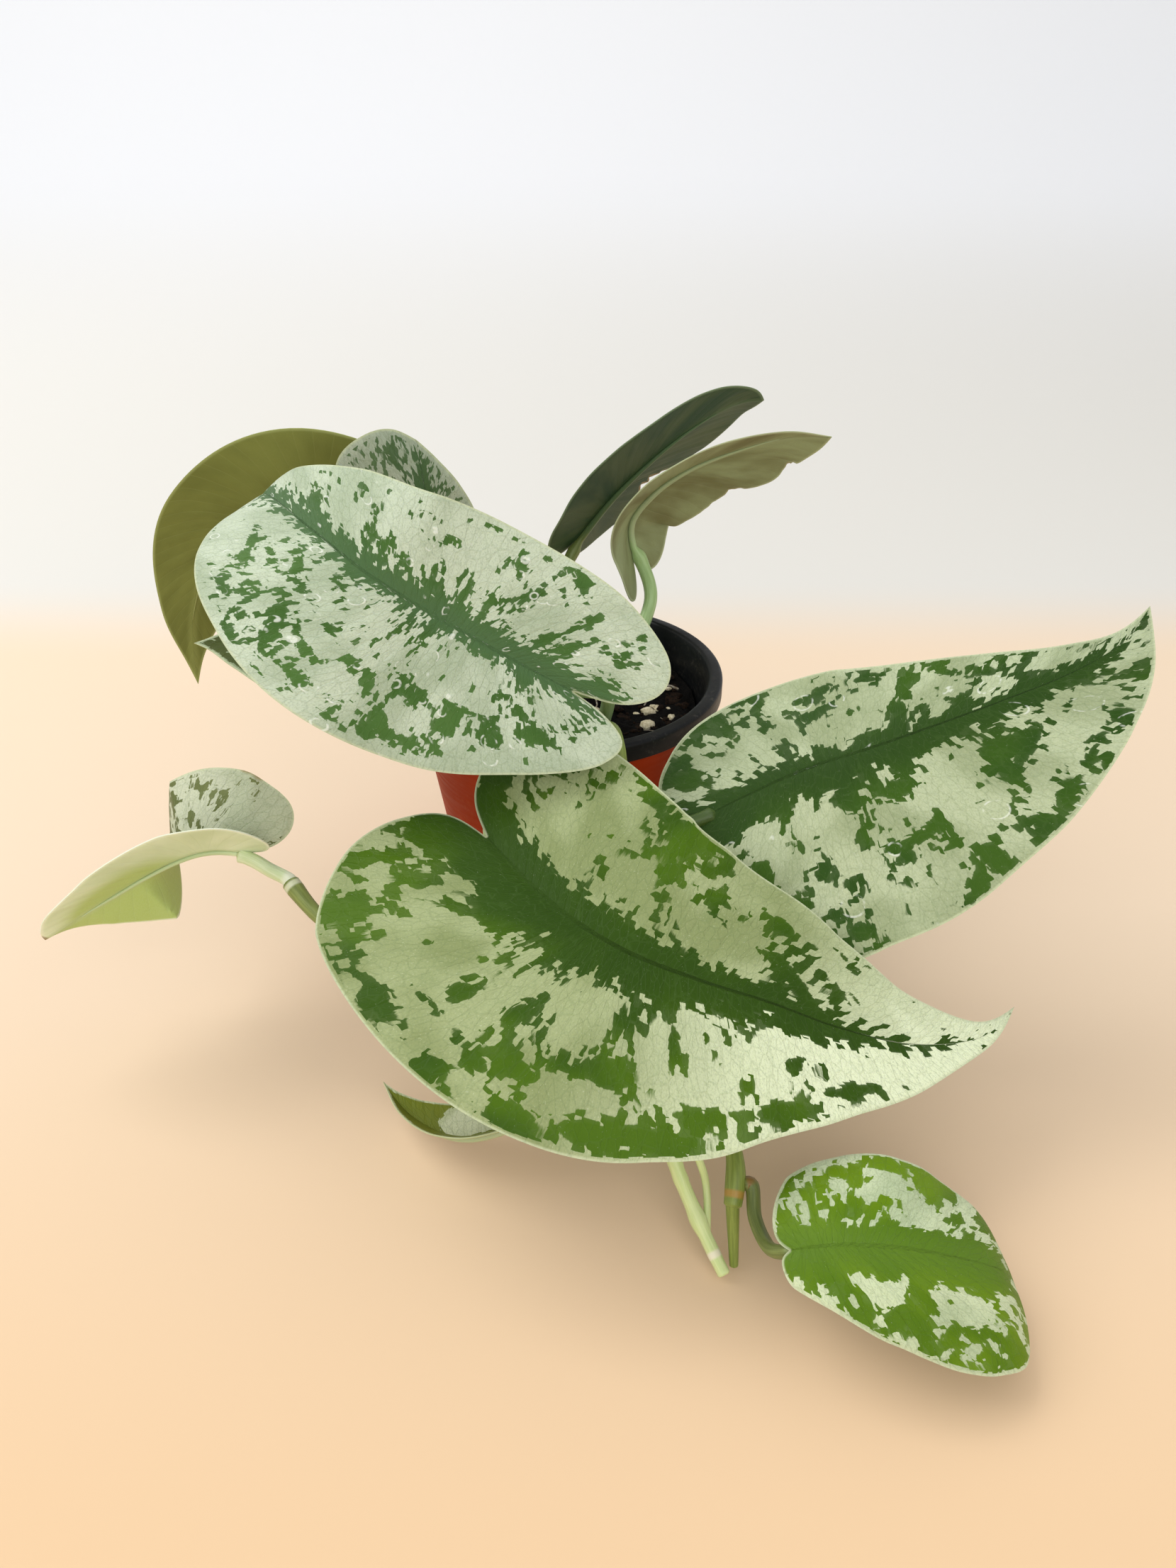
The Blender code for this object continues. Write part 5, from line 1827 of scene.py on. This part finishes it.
    def build(self) -> bpy.types.Object:
        """Makes the mix with its bark, perlite and fibres, which stands for the soil.

        Returns:
            The new object.
        """
        bark = self.lumps(self.bark_count, self.bark_size, self.bark_stretch, 1, 1, self.seed + 1)
        perlite = self.lumps(self.perlite_count, self.perlite_size, self.perlite_stretch, 2, 2,
                             self.seed + 2, self.pale_lumps)
        materials = [finish.material(name) for name, finish in (
            ("peat", self.peat), ("bark_chip", self.bark), ("perlite", self.perlite),
            ("root_fibre", self.fibre))]
        surface = join_surfaces([self.bed(), bark, perlite, *self.fibres()])
        item = make_object("potting_mix", surface, materials, 60)
        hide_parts("soil")
        return item


# The plant's own sizes

# Green vine skin, lightened as painted light to make up for the shade that leaf_front casts on the vine
VINE_SKIN = StemSkin(base="#8c9c48", streak="#748438", joint="#b38c40")
OLD_VINE_SKIN = StemSkin(base="#8a9650", streak="#717d3c", joint="#d5d8b8")
SHOOT_SKIN = StemSkin(base="#dbe6a8", streak="#cddd96", joint="#f0ead0", roughness=0.38)
PALE_STALK = StemSkin(base="#a9c48a", streak="#94b271")
# Stalk of leaf_left: pale like its underside, and lightened further as painted light to the tone of its lit
# top
LEFT_STALK = StemSkin(base="#dbe6c0", streak="#c9d8a6", joint="#e6e8d2")
OLIVE_STALK = StemSkin(base="#7d8a4a", streak="#66743a")
SHADED_STALK = StemSkin(base="#4a6224", streak="#3c521c")

STEMS = (
    Stem("vine_left",
         route=((-10, -28, 70), (-12, -39, 93), (-14, -48.5, 98.2), (-15, -57.5, 93.5), (-18, -69, 76),
                (-30, -84, 59), (-50, -92, 52), (-68, -87, 53), (-83, -74, 60)),
         radius=2.3, joints=(0.62, 0.99), tip_radius=2.3, skin=OLD_VINE_SKIN),
    Stem("vine_front",
         route=((10, -30, 70), (13, -40, 94), (16, -50, 99), (18, -60, 92), (20, -70, 80),
                (30, -100, 55), (41, -134, 34), (47, -150, 28), (46, -161, 21)),
         radius=2.3, joints=(0.37, 0.97), rings=(0.37, 0.985), tip_radius=2.2, skin=VINE_SKIN,
         branches=((((46, -160, 21), (46.5, -163, 12), (47, -166, 2.6)), 1.9, 1.2),)),
    Stem("young_shoot",
         route=((22, -99, 50), (24, -112, 44), (29, -132, 35), (31, -147, 24), (37, -157, 12),
                (44, -169, 3.2)),
         radius=2.1, joints=(0.86,), rings=(0.95,), tip_radius=1.7,
         seat=("vine_front", 0.52, (-0.5, 0, -1)),
         skin=SHOOT_SKIN, slot="young_stem",
         branches=((((31, -128, 40), (37, -148, 27), (40, -151, 17), (40, -160, 8.5)), 1.2, 1.0),)),
)

# Soft patches set in the windows that the leaves name below
TOP_LEAF_MARKS = (
    (190, 302, 24, 11, -2), (155, 345, 22, 18, -2.2), (250, 350, 24, 10, -2), (340, 345, 30, 8, -1.8),
    (95, 428, 24, 14, -2.2), (185, 450, 22, 24, -2.4), (148, 525, 26, 18, -2.4), (105, 560, 20, 16, -2),
    (130, 590, 14, 18, -1.8), (270, 520, 20, 24, -2.4), (248, 578, 24, 26, -2.6), (235, 635, 30, 20, -2.2),
    (198, 690, 20, 10, -1.8), (360, 640, 32, 18, -2.4), (318, 690, 32, 20, -2.6), (335, 738, 24, 22, -2.4),
    (500, 685, 30, 12, -2), (535, 738, 22, 26, -2.6), (650, 705, 36, 7, -1.6), (657, 750, 18, 24, -2.4),
    (695, 790, 24, 18, -2.2), (440, 800, 28, 18, -2.2), (425, 835, 28, 14, -2), (570, 832, 38, 20, -2.4),
    (548, 880, 30, 22, -2.4), (612, 893, 36, 16, -2.2), (810, 828, 34, 16, -2.2), (790, 878, 32, 22, -2.6),
    (735, 918, 30, 18, -2.4), (700, 945, 24, 10, -1.8), (930, 888, 30, 24, -2.4), (945, 925, 24, 14, -2),
    (1010, 832, 26, 14, -2), (1032, 893, 28, 16, -2.2), (1078, 902, 30, 28, -2.6), (1160, 888, 18, 14, -2),
    (1192, 912, 18, 16, -2), (1235, 875, 20, 14, -1.6), (850, 825, 90, 5, -1.6), (735, 215, 24, 13, -1.8),
    (805, 292, 34, 13, -2.2), (930, 250, 46, 9, -1.6), (1000, 270, 36, 13, -2), (1035, 362, 30, 24, -2.4),
    (1110, 345, 20, 13, -2), (1212, 355, 26, 24, -2.4), (1232, 405, 26, 24, -2.4),
    (1150, 435, 28, 13, -2.2), (1222, 465, 24, 18, -2), (1045, 475, 20, 52, -2.4),
    (1240, 545, 18, 46, -1.8), (1285, 600, 34, 20, -1), (1345, 628, 30, 18, -1), (1400, 612, 24, 20, -1.4),
    (1330, 690, 40, 12, -0.8), (1262, 700, 30, 16, -1), (1392, 712, 28, 14, -0.8),
    (1305, 752, 40, 10, -0.9), (1110, 600, 16, 46, -2.4), (1155, 640, 16, 40, -2.4),
    (1195, 620, 14, 40, -2), (640, 565, 14, 60, -2.6), (735, 575, 16, 40, -2.4), (620, 440, 28, 8, -1.8),
    (520, 420, 50, 7, -1.6), (895, 640, 40, 12, -2.4), (1030, 720, 22, 34, -2.2), (960, 776, 34, 6, -1.6),
    (430, 575, 80, 7, -1.9), (330, 560, 20, 12, -1.6), (560, 260, 14, 44, -2.6), (600, 310, 22, 36, -2.6),
    (660, 370, 18, 34, -2.4), (390, 170, 20, 24, -1.8), (470, 470, 60, 4, -1.2), (330, 395, 40, 18, -1.6),
    (420, 250, 40, 30, -1), (840, 470, 20, 60, -2.2), (930, 490, 20, 52, -2.2), (760, 400, 18, 40, -1.6),
)
FRONT_LEAF_MARKS = (
    (545, 245, 70, 90, 2), (470, 240, 35, 55, 1.1), (640, 190, 38, 45, 1.4), (655, 335, 38, 50, 1.5),
    (860, 470, 70, 34, 1.8), (795, 420, 45, 35, 1.2), (960, 335, 80, 32, 1.4), (1020, 410, 90, 28, 1.1),
    (1190, 625, 80, 24, 1.2), (270, 480, 70, 80, 2), (200, 400, 36, 45, 0.8), (340, 620, 32, 55, 1.5),
    (460, 560, 26, 48, 1.3), (560, 630, 62, 66, 2.2), (480, 790, 50, 40, 1.8), (310, 770, 28, 22, 1.4),
    (255, 650, 34, 34, 0.9), (800, 650, 60, 38, 1.7), (720, 700, 34, 50, 1.2), (880, 740, 60, 42, 1.4),
    (1010, 685, 70, 28, 1.5), (1180, 722, 80, 30, 1.7), (480, 132, 26, 16, 1), (150, 400, 30, 40, 0.4),
    (385, 415, 42, 40, -2), (420, 615, 18, 48, -1.9), (515, 515, 15, 46, -1.7), (640, 620, 18, 46, -1.3),
    (300, 562, 24, 30, -1.7), (235, 605, 50, 16, -1.4), (120, 572, 26, 28, -1.5), (95, 432, 22, 36, -0.3),
    (235, 465, 12, 18, -2.4), (200, 230, 85, 32, -0.7), (85, 300, 26, 50, 0.2), (330, 722, 36, 20, -1.7),
    (430, 742, 45, 17, -1.8), (520, 730, 38, 16, -1.6), (605, 732, 34, 38, -1.8), (400, 832, 40, 34, -1.8),
    (250, 730, 34, 26, -1.3), (575, 872, 62, 24, -1.7), (748, 692, 15, 40, -1.8), (815, 668, 11, 16, -2.2),
    (900, 762, 22, 28, -2), (1010, 722, 20, 20, -1.6), (975, 822, 54, 17, -1.5), (1130, 782, 64, 15, -1.4),
    (830, 842, 52, 20, -1.2), (700, 892, 54, 16, -1.2), (700, 162, 34, 15, -1.5), (765, 225, 38, 20, -1.6),
    (572, 240, 12, 16, -1.8), (540, 282, 22, 10, -1.4), (412, 228, 18, 26, -1), (625, 240, 36, 7, -1.3),
    (850, 380, 40, 11, -1.6), (800, 302, 30, 10, -1.3), (982, 430, 22, 11, -1.6), (1000, 540, 80, 9, -2.2),
    (1112, 500, 26, 10, -1.4), (1140, 590, 40, 7, -1.2), (380, 118, 34, 24, -1.2), (530, 105, 34, 16, -1),
)
RIGHT_LEAF_MARKS = (
    (470, 640, 45, 46, 1.8), (560, 690, 45, 46, 1.7), (335, 680, 50, 46, 1.6), (420, 760, 46, 44, 1.2),
    (600, 765, 36, 50, 1.2), (540, 835, 36, 36, 1.1), (700, 600, 50, 34, 2), (850, 560, 80, 44, 2.2),
    (960, 630, 70, 44, 2.2), (900, 490, 60, 34, 2), (1130, 500, 42, 26, 1.9), (1130, 578, 34, 15, 1.6),
    (1240, 340, 60, 42, 2.1), (1180, 412, 42, 24, 1.3), (1022, 385, 26, 15, 1.5), (880, 770, 44, 60, 1.9),
    (1060, 700, 26, 54, 1.7), (690, 865, 52, 52, 1.5), (760, 935, 52, 34, 1.2), (1280, 530, 26, 36, 0.9),
    (1360, 250, 26, 50, 1), (320, 420, 52, 42, 1.5), (250, 500, 34, 26, 1.1), (420, 370, 44, 34, 1),
    (540, 350, 60, 42, 1.6), (640, 365, 44, 34, 1.4), (620, 285, 42, 16, 1), (800, 275, 44, 24, 1.1),
    (900, 262, 52, 20, 1), (1000, 250, 44, 20, 0.8), (1150, 190, 54, 16, 1), (330, 602, 42, 34, -2),
    (250, 622, 34, 34, -1.6), (600, 572, 52, 32, -2), (722, 545, 52, 34, -2), (640, 640, 20, 10, -1.2),
    (760, 680, 80, 12, -1.9), (880, 692, 52, 13, -1.7), (735, 742, 42, 26, -2), (610, 808, 26, 44, -1.8),
    (560, 890, 30, 30, -1.7), (990, 735, 30, 44, -2.2), (960, 800, 26, 34, -1.5), (932, 850, 22, 26, -1.8),
    (1120, 640, 36, 34, -1.8), (1085, 545, 24, 20, -1.2), (1200, 562, 34, 34, -1.6),
    (1270, 430, 40, 20, -2), (1322, 470, 20, 26, -1.6), (1000, 432, 50, 24, -1.8), (1090, 402, 52, 26, -2),
    (1060, 475, 34, 20, -1.3), (630, 940, 26, 26, -2), (350, 770, 30, 26, -2), (460, 862, 36, 15, -2),
    (510, 770, 14, 16, -2.4), (1350, 340, 20, 36, -1.4), (1210, 282, 36, 11, -1.5),
    (270, 302, 26, 16, -1.6), (322, 290, 12, 22, -1.5), (345, 385, 22, 12, -2), (232, 345, 12, 34, -1.2),
    (130, 520, 36, 50, -0.9), (280, 470, 26, 16, -1), (450, 300, 22, 12, -1.7), (520, 262, 26, 12, -1.5),
    (470, 342, 22, 16, -1.5), (640, 236, 44, 12, -1.6), (592, 330, 16, 10, -1.5), (640, 412, 36, 26, -2),
    (722, 380, 26, 26, -2), (735, 330, 12, 32, -1.9), (500, 442, 44, 20, -1.4), (860, 212, 44, 14, -1.7),
    (960, 212, 26, 10, -1.4), (880, 292, 26, 8, -1.3), (1000, 292, 16, 16, -1.3),
)
LOW_RIGHT_LEAF_MARKS = (
    (650, 300, 45, 52, 1.7), (780, 400, 95, 62, 2.2), (700, 460, 52, 34, 1.5), (870, 470, 52, 34, 2),
    (1040, 420, 38, 50, 1.9), (990, 560, 40, 26, 1.3), (1140, 590, 44, 40, 1.5), (480, 180, 52, 22, 1.3),
    (400, 300, 52, 30, 1.6), (550, 330, 34, 44, 1.3), (330, 430, 34, 52, 1.3), (220, 300, 40, 44, 0.7),
    (230, 420, 34, 44, 0.8), (520, 490, 26, 18, 1.1), (500, 740, 42, 26, 1.7), (560, 780, 34, 34, 1.5),
    (620, 870, 50, 52, 1.9), (720, 820, 50, 34, 1.7), (742, 742, 40, 16, 1.8), (920, 840, 52, 52, 2.3),
    (1050, 900, 70, 60, 2.3), (1130, 960, 50, 44, 1.8), (1240, 870, 34, 50, 1.5), (1300, 980, 34, 44, 1.3),
    (1090, 1120, 52, 32, 1.9), (1230, 1040, 34, 44, 1.3), (960, 1142, 42, 16, 1.4),
    (780, 1080, 34, 24, 0.9), (300, 722, 26, 16, 0.9), (330, 820, 34, 20, 0.7), (380, 232, 42, 34, -1.4),
    (650, 192, 60, 30, -1.8), (860, 312, 42, 34, -1.6), (940, 332, 52, 20, -1.6), (480, 380, 34, 20, -1.6),
    (640, 362, 20, 16, -1.9), (500, 290, 20, 34, -1.4), (620, 470, 42, 34, -1.3), (1000, 470, 20, 52, -1.5),
    (910, 540, 52, 32, -1.8), (1060, 560, 20, 26, -1.4), (1130, 682, 52, 26, -1.2),
    (280, 420, 16, 70, -1.2), (330, 762, 42, 40, -1.2), (620, 762, 26, 26, -1.6), (800, 800, 40, 52, -2.2),
    (860, 900, 24, 52, -1.6), (980, 1052, 60, 40, -1.8), (1130, 1052, 50, 24, -1.6),
    (700, 962, 50, 42, -1.6), (560, 942, 50, 42, -1.4),
)

LEAVES = (
    Leaf(
        "leaf_top",
        midrib=((4, -62, 120), (-30, -57, 139), (-51, -56, 153), (-69, -44, 162), (-86, -22, 164),
                (-96, 3, 153)),
        width=(45, 33), facing=((0, -0.78, 0.62), (0.05, -0.70, 0.70)),
        outline=(Outline.SKEW, Outline.HEART), lobe_size=0.9, rows=210, steps=44,
        stalk=((10, -18, 70), (13, -25, 88), (14, -42, 108), (9, -56, 117)), skin=PALE_STALK,
        pattern=SilverPattern(
            amount=1.0, bands=((2.5, 0.8), (5.5, 2.5)), feather=9.0, rim=1.6, fleck=(2.6, 5.2), flecks=5.4,
            cell=(1.2, 2.0), contrast=3.6, silver=("#adba9f", "#c4cfb7"), green=("#3c5f24", "#4a6e30"),
            rib_green="#4c6a42", rings=0.6, seed=1.0,
            marks=((5, -16, 15, 11, 0.6), (42, -30, 30, 6, 0.6), (86, 20, 12, 22, -0.4))),
        seen=MarkedWindow((270, 630), 2.206, TOP_LEAF_MARKS, spread=1.4, strength=0.85)),
    Leaf(
        "leaf_front",
        midrib=((-21, -87, 87), (-1, -112, 81), (17, -124, 76), (37, -129, 70), (56, -131, 64),
                (75, -132, 56), (96, -130, 48), (119, -121, 42), (132, -108, 41)),
        width=(49, 57), facing=((0.17, -0.48, 0.85), (0.2, -0.35, 0.9)),
        outline=(Outline.TAPER, Outline.DRIP), left_lift=(13, 4, 2, 3, 4), left_curl=(-6, -8, -8),
        right_lift=(4, 2, 2), right_curl=(-18, -20, -10), lobe_size=0.75, rows=250, steps=50,
        stalk=((-19, -25, 70), (-20, -38, 93), (-21, -46.5, 98.6), (-22, -57, 95), (-21, -74, 87)),
        skin=PALE_STALK,
        pattern=SilverPattern(
            amount=0.0, bands=((9.0, 0.0), (12.0, 0.5)), feather=10.0, rim=1.0, flecks=2.2, cell=(2.2, 3.2),
            # Painted light: the silver lightens towards the tip, where the blade catches more light
            contrast=5.0, silver=("#8b9663", "#a3ad7d"), bright="#e2eac6", painted_light_run=(100.0, 185.0),
            green=("#34520a", "#48680a"), rib_green="#2b460a", rib_reach=28.0, seed=2.0,
            marks=((146, 3, 16, 4, 2.2), (146, -4, 16, 4, 2.0), (162, 0, 12, 6, 2.5), (132, 0, 12, 4, 1.6),
                   (20, -44, 8, 5, 1.2), (36, -48, 6, 4, 1.2), (64, -38, 8, 4, 1.4), (84, -30, 8, 4, 1.0),
                   (100, -22, 8, 4, 1.0), (136, 9, 13, 4, 2.2), (120, 15, 10, 4, 1.4))),
        seen=MarkedWindow((450, 1020), 1.5, FRONT_LEAF_MARKS)),
    Leaf(
        "leaf_right",
        midrib=((43, -71, 83), (73, -66, 96), (91, -67, 104), (108, -65, 110), (128, -62, 117),
                (150, -55, 123), (165, -47, 128), (177, -34, 134)),
        width=(38, 57), facing=((-0.3, -0.46, 0.8), (-0.3, -0.5, 0.8)),
        outline=(Outline.NARROW, Outline.HEART), left_lift=(-4, -4, -4), right_lift=(-12, -9, -4),
        lobe_size=0.85, rows=210, steps=44, stalk=((28, -73, 80), (36, -73, 81)),
        seat=("vine_front", 0.37, (1, 0, 0)), skin=SHADED_STALK,
        pattern=SilverPattern(
            amount=0.15, bands=((4.0, 0.5), (9.0, 1.0)), feather=8.0, rim=0.9, cell=(2.0, 3.0), flecks=2.6,
            silver=("#9da882", "#b6c09c"), green=("#2b4a12", "#395a12"), rib_green="#294412",
            rib_reach=18.0, rings=0.5, ring_spacing=13.0, seed=3.0),
        seen=MarkedWindow((900, 840), 1.976, RIGHT_LEAF_MARKS)),
    Leaf(
        "leaf_low_right",
        midrib=((57, -181, 30), (70, -183, 34), (85, -184, 34), (99, -183, 29), (110, -181, 22),
                (116, -179, 13)),
        width=(27, 25), facing=((0, -0.2, 1), (0.1, -0.1, 1)), outline=(Outline.ROUND, Outline.CURLED),
        left_curl=(-25, -25, -20), right_lift=(-15, -15, -10), right_curl=(-35, -35, -20), lobe_size=0.6,
        stalk=((51.5, -164, 20), (53, -171, 20), (54.5, -177, 24)), stalk_radius=1.9,
        seat=("vine_front", 0.97, (1, 0, 0)), skin=OLIVE_STALK,
        pattern=SilverPattern(
            amount=-0.3, bands=((4.0, 3.5), (5.0, 5.0)), feather=4.0, rim=0.8, flecks=2.4,
            # The pale silver where the marks add up past 2.6 is partly painted light
            patch=(6.0, 11.0), silver=("#b4c19a", "#cad5ae"), bright="#d2dcb8",
            green=("#507208", "#66860c"), rib_green="#5a7a20", seed=4.0),
        seen=MarkedWindow((1070, 1590), 3.571, LOW_RIGHT_LEAF_MARKS)),
    Leaf(
        "leaf_left",
        midrib=((-99, -66, 66), (-108, -68, 68), (-118, -70, 66), (-138, -77, 57), (-158, -84, 46)),
        width=(20, 26), facing=((0, 0, 1), (0, 0, 1)), outline=(Outline.ROUND, Outline.HEART),
        left_lift=(60, 60, 55), right_lift=(62, 40, -80, -70, -40), lobe_size=1.2, wave=0.3,
        stalk=((-90, -70, 62), (-95, -68, 64)), seat=("vine_left", 1.0, ()), skin=LEFT_STALK,
        slot="leaf_underside", worn_tip=0.8, worn_spots=((-2, -25, 2.6), (2, -26, 1.8)), rib_radius=0.8,
        joint_reach=3.4,
        pattern=SilverPattern(
            amount=1.0, bands=((2.0, 1.0), (2.0, 1.0)), rim=0.8, seed=5.0, patch=(3.5, 13.0), contrast=7.0,
            streaks=1.5, silver=("#b9bfa2", "#c9cdb2"), green=("#5f673b", "#727a4a"), rib_green="#666e40",
            marks=((44, -14, 22, 16, -6.0),)),
        under=LeafUnderside(
            base="#dfeacb", shade="#c9d8b0", vein="#b6c795", margin="#eef2e0", lit="#a9bf62",
            vein_strength=0.22)),
    Leaf(
        "leaf_back_left",
        midrib=((-52, 25, 127), (-88, 25, 143), (-116, 25, 133), (-132, 25, 106), (-136, 25, 76)),
        width=(29, 27), facing=((0, 0.98, 0.2), (-0.2, 0.98, 0.1)),
        stalk=((-20, 12, 70), (-24, 14, 90), (-34, 19, 110), (-44, 23, 121)), skin=OLIVE_STALK,
        slot="leaf_underside",
        pattern=SilverPattern(amount=0.5, seed=6.0),
        under=LeafUnderside(base="#7d8440", shade="#6a7032", vein="#8d9452", margin="#a3ab6c")),
    Leaf(
        "leaf_upper",
        midrib=((-37, -1, 126), (-40, 1, 142), (-43, 2, 157), (-45, 3, 173)), width=(29, 14),
        facing=((0, -0.95, 0.3), (0, -0.95, 0.3)), outline=(Outline.CURLED, Outline.SKEW),
        stalk=((-18, 0, 70), (-19, 4, 90), (-23, 8, 108), (-31, 4, 120)), skin=PALE_STALK,
        pattern=SilverPattern(
            amount=0.3, bands=((3.0, 1.0), (3.0, 1.0)), rim=1.2, seed=7.0, patch=(5.0, 8.0),
            fleck=(2.4, 3.2), flecks=5.0, cell=(1.0, 1.5), contrast=4.0, silver=("#a7b39e", "#b9c3ae"),
            green=("#506a44", "#607a52"), rib_green="#4e6a44")),
    Leaf(
        "leaf_under",
        midrib=((-42, -12, 105), (-64, -10, 108), (-92, -4, 108), (-126, 2, 104)), width=(31, 20),
        facing=((0, -0.3, 0.95), (0, -0.5, 0.87)), lobe_size=0.6,
        stalk=((-28, -20, 70), (-31, -19, 86), (-34, -16, 96), (-38, -13, 102)), skin=OLIVE_STALK,
        # Dark silver and olive green: painted shade, for a leaf lying in the shade of leaf_top
        pattern=SilverPattern(
            amount=-0.9, bands=((4.0, 2.0), (4.0, 2.0)), rim=0.9, seed=8.0, silver=("#8a9878", "#98a584"),
            green=("#3f4a1a", "#4c5722"), rib_green="#434d1c")),
    Leaf(
        "leaf_back_dark",
        midrib=((3, 75, 112), (20, 75, 133), (45, 75, 155), (63, 75, 165), (72, 75, 166)), width=(28, 24),
        facing=((-0.5, 0.6, 0.7), (-0.2, 0.6, 0.7)), outline=(Outline.ROUND, Outline.ROUND),
        bites=((0, 0.50, 0.05, 0.45),), slot="leaf_underside",
        stalk=((8, 27, 70), (6, 36, 92), (1, 52, 103), (0, 68, 105)), skin=OLIVE_STALK,
        pattern=SilverPattern(amount=0.3, seed=9.0),
        # Very dark underside: painted shade, for an underside that faces away from the light
        under=LeafUnderside(
            base="#4a5c3a", shade="#1f442a", vein="#56704a", margin="#7f9070", vein_strength=0.15)),
    Leaf(
        "leaf_back_right",
        midrib=((24, 48, 118), (23, 50, 129), (31, 50, 140), (44, 50, 149), (62, 50, 156), (78, 50, 160),
                (93, 50, 160)),
        width=(24, 18), facing=((-0.8, 0.6, 0.3), (-0.1, 0.75, 0.65)),
        outline=(Outline.ROUND, Outline.HEART), left_lift=(-12, -12, -12), right_lift=(-12, -12, -12),
        bites=((0, 0.74, 0.03, 0.22), (0, 0.58, 0.05, 0.18)), stalk_radius=2.4, slot="leaf_underside",
        stalk=((24, 22, 70), (26, 29, 90), (31, 39, 105), (28, 47, 114)), skin=PALE_STALK,
        pattern=SilverPattern(amount=0.4, seed=10.0),
        under=LeafUnderside(
            base="#919c70", shade="#6f7046", vein="#9aa67c", margin="#b4bc98", vein_strength=0.3)),
    Leaf(
        "leaf_small",
        midrib=((-8, -128, 18), (-28, -130, 11), (-44, -121, 9), (-54, -110, 12)), width=(11, 13),
        facing=((0, 0, 1), (0, 0, 1)), left_lift=(45, 45, 45), right_lift=(10, 10, 10), left_curl=(0, 0, 0),
        right_curl=(0, 0, 0), wave=0.2, stalk_radius=1.5, rows=80, steps=20,
        stalk=((19, -85, 66), (14, -92, 57), (4, -112, 35), (-3, -124, 21)), skin=PALE_STALK,
        seat=("vine_front", 0.46, (-1, 0, 0)), slot="leaf_underside", worn_tip=0.5,
        pattern=SilverPattern(
            amount=-2.0, bands=((1.0, 0.5), (1.0, 0.5)), feather=1.0, rim=0.5, flecks=0.6, contrast=2.0,
            seed=11.0, silver=("#b7bf97", "#c3caa4"), bright="#cfd4b2", green=("#6b7420", "#7f8a28"),
            rib_green="#6e7826", marks=((14, -8, 24, 9, 9.0),)),
        under=LeafUnderside(base="#c2c9a0", shade="#a9b184", vein="#b3bb90")),
)


# Studio

@dataclass
class Studio:
    """Pale seamless paper, soft lamps and a camera at the photograph's angle."""
    camera: PhotoCamera = PHOTO_CAMERA
    paper: StudioPaper = StudioPaper()
    sky: str = "#f1f3f5"
    sky_strength: float = 0.79
    # Name, place and target in metres, side, power and linear colour of each lamp
    lamps: tuple = (
        ("key_lamp", (-1.0, 0.15, 1.3), (0, -0.05, 0.08), 1.1, 11.5, (1.0, 0.99, 0.97)),
        ("fill_lamp", (0.25, -1.3, 0.8), (0, -0.05, 0.1), 1.2, 7.5, (1.0, 0.98, 0.95)),
        ("backdrop_lamp", (-1.5, 1.1, 2.4), (-0.9, 3.4, 0.9), 2.6, 22.0, (1.0, 1.0, 1.0)),
    )

    def build(self) -> None:
        """Makes the paper, the lamps, the camera and the sky."""
        self._paper()
        self._camera()
        for lamp in self.lamps:
            self._lamp(*lamp)
        world = bpy.data.worlds.new("studio_air")
        world.use_nodes = True
        sky = world.node_tree.nodes["Background"]
        sky.inputs["Color"].default_value = linear(self.sky)
        sky.inputs["Strength"].default_value = self.sky_strength
        bpy.context.scene.view_settings.view_transform = "Standard"
        bpy.context.scene.world = world

    def _paper(self) -> None:
        """Floor that turns up behind into a wall: z = 0, then a quarter circle, then straight."""
        turn = np.radians(np.linspace(0, 90, 40))
        front, back, bend, wide, high = -5.0, 2.2, 1.2, 6.0, 5.0
        y = np.concatenate([[front], back + bend * np.sin(turn), [back + bend]])
        z = np.concatenate([[0.0], bend - bend * np.cos(turn), [high]])
        points = np.concatenate([np.stack([0 * y + side, y, z], axis=-1) for side in (-wide, wide)]) / MM
        faces = [[k, k + 1, len(y) + k + 1, len(y) + k] for k in range(len(y) - 1)]
        surface = Surface(points, faces, np.zeros(len(faces)))
        item = make_object("studio_paper", surface, [self.paper.material("studio_paper")])

    def _camera(self) -> None:
        """Camera above the front, looking down by the drop."""
        data = bpy.data.cameras.new("photo_camera")
        data.sensor_fit = "VERTICAL"
        data.sensor_height = self.camera.sensor
        data.lens = self.camera.lens
        data.clip_start = 0.01
        item = bpy.data.objects.new("photo_camera", data)
        item.location = self.camera.place
        item.rotation_euler = (math.radians(90 - self.camera.drop), 0, 0)
        bpy.context.scene.collection.objects.link(item)
        bpy.context.scene.camera = item

    @staticmethod
    def _lamp(name: str, place: tuple, target: tuple, size: float, power: float, colour: tuple) -> None:
        """Square area lamp that faces its target.

        Args:
            name: the lamp's name.
            place: where it stands, in metres.
            target: what it faces.
            size: length of its side.
            power: in watts.
            colour: red, green and blue, linear.
        """
        data = bpy.data.lights.new(name, "AREA")
        data.size = size
        data.energy = power
        data.color = colour
        item = bpy.data.objects.new(name, data)
        item.location = place
        item.rotation_euler = (Vector(target) - Vector(place)).to_track_quat("-Z", "Y").to_euler()
        bpy.context.scene.collection.objects.link(item)


def main() -> None:
    """Builds the pot, the mix, the stems and the leaves, then the studio round them."""
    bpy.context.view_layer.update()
    stems = {stem.node: stem for stem in STEMS}
    pot = NurseryPot()
    pieces = [pot.build_shell(), pot.build_liner(), PottingMix(pot).build()]
    pieces += [stem.build(stems) for stem in STEMS]
    pieces += [leaf.build(stems) for leaf in LEAVES]
    for piece in pieces:
        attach(piece, "root")
        log.info("%s: %d faces", piece.name, len(piece.data.polygons))
    Studio().build()
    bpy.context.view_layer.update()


if __name__ == "__main__":
    main()
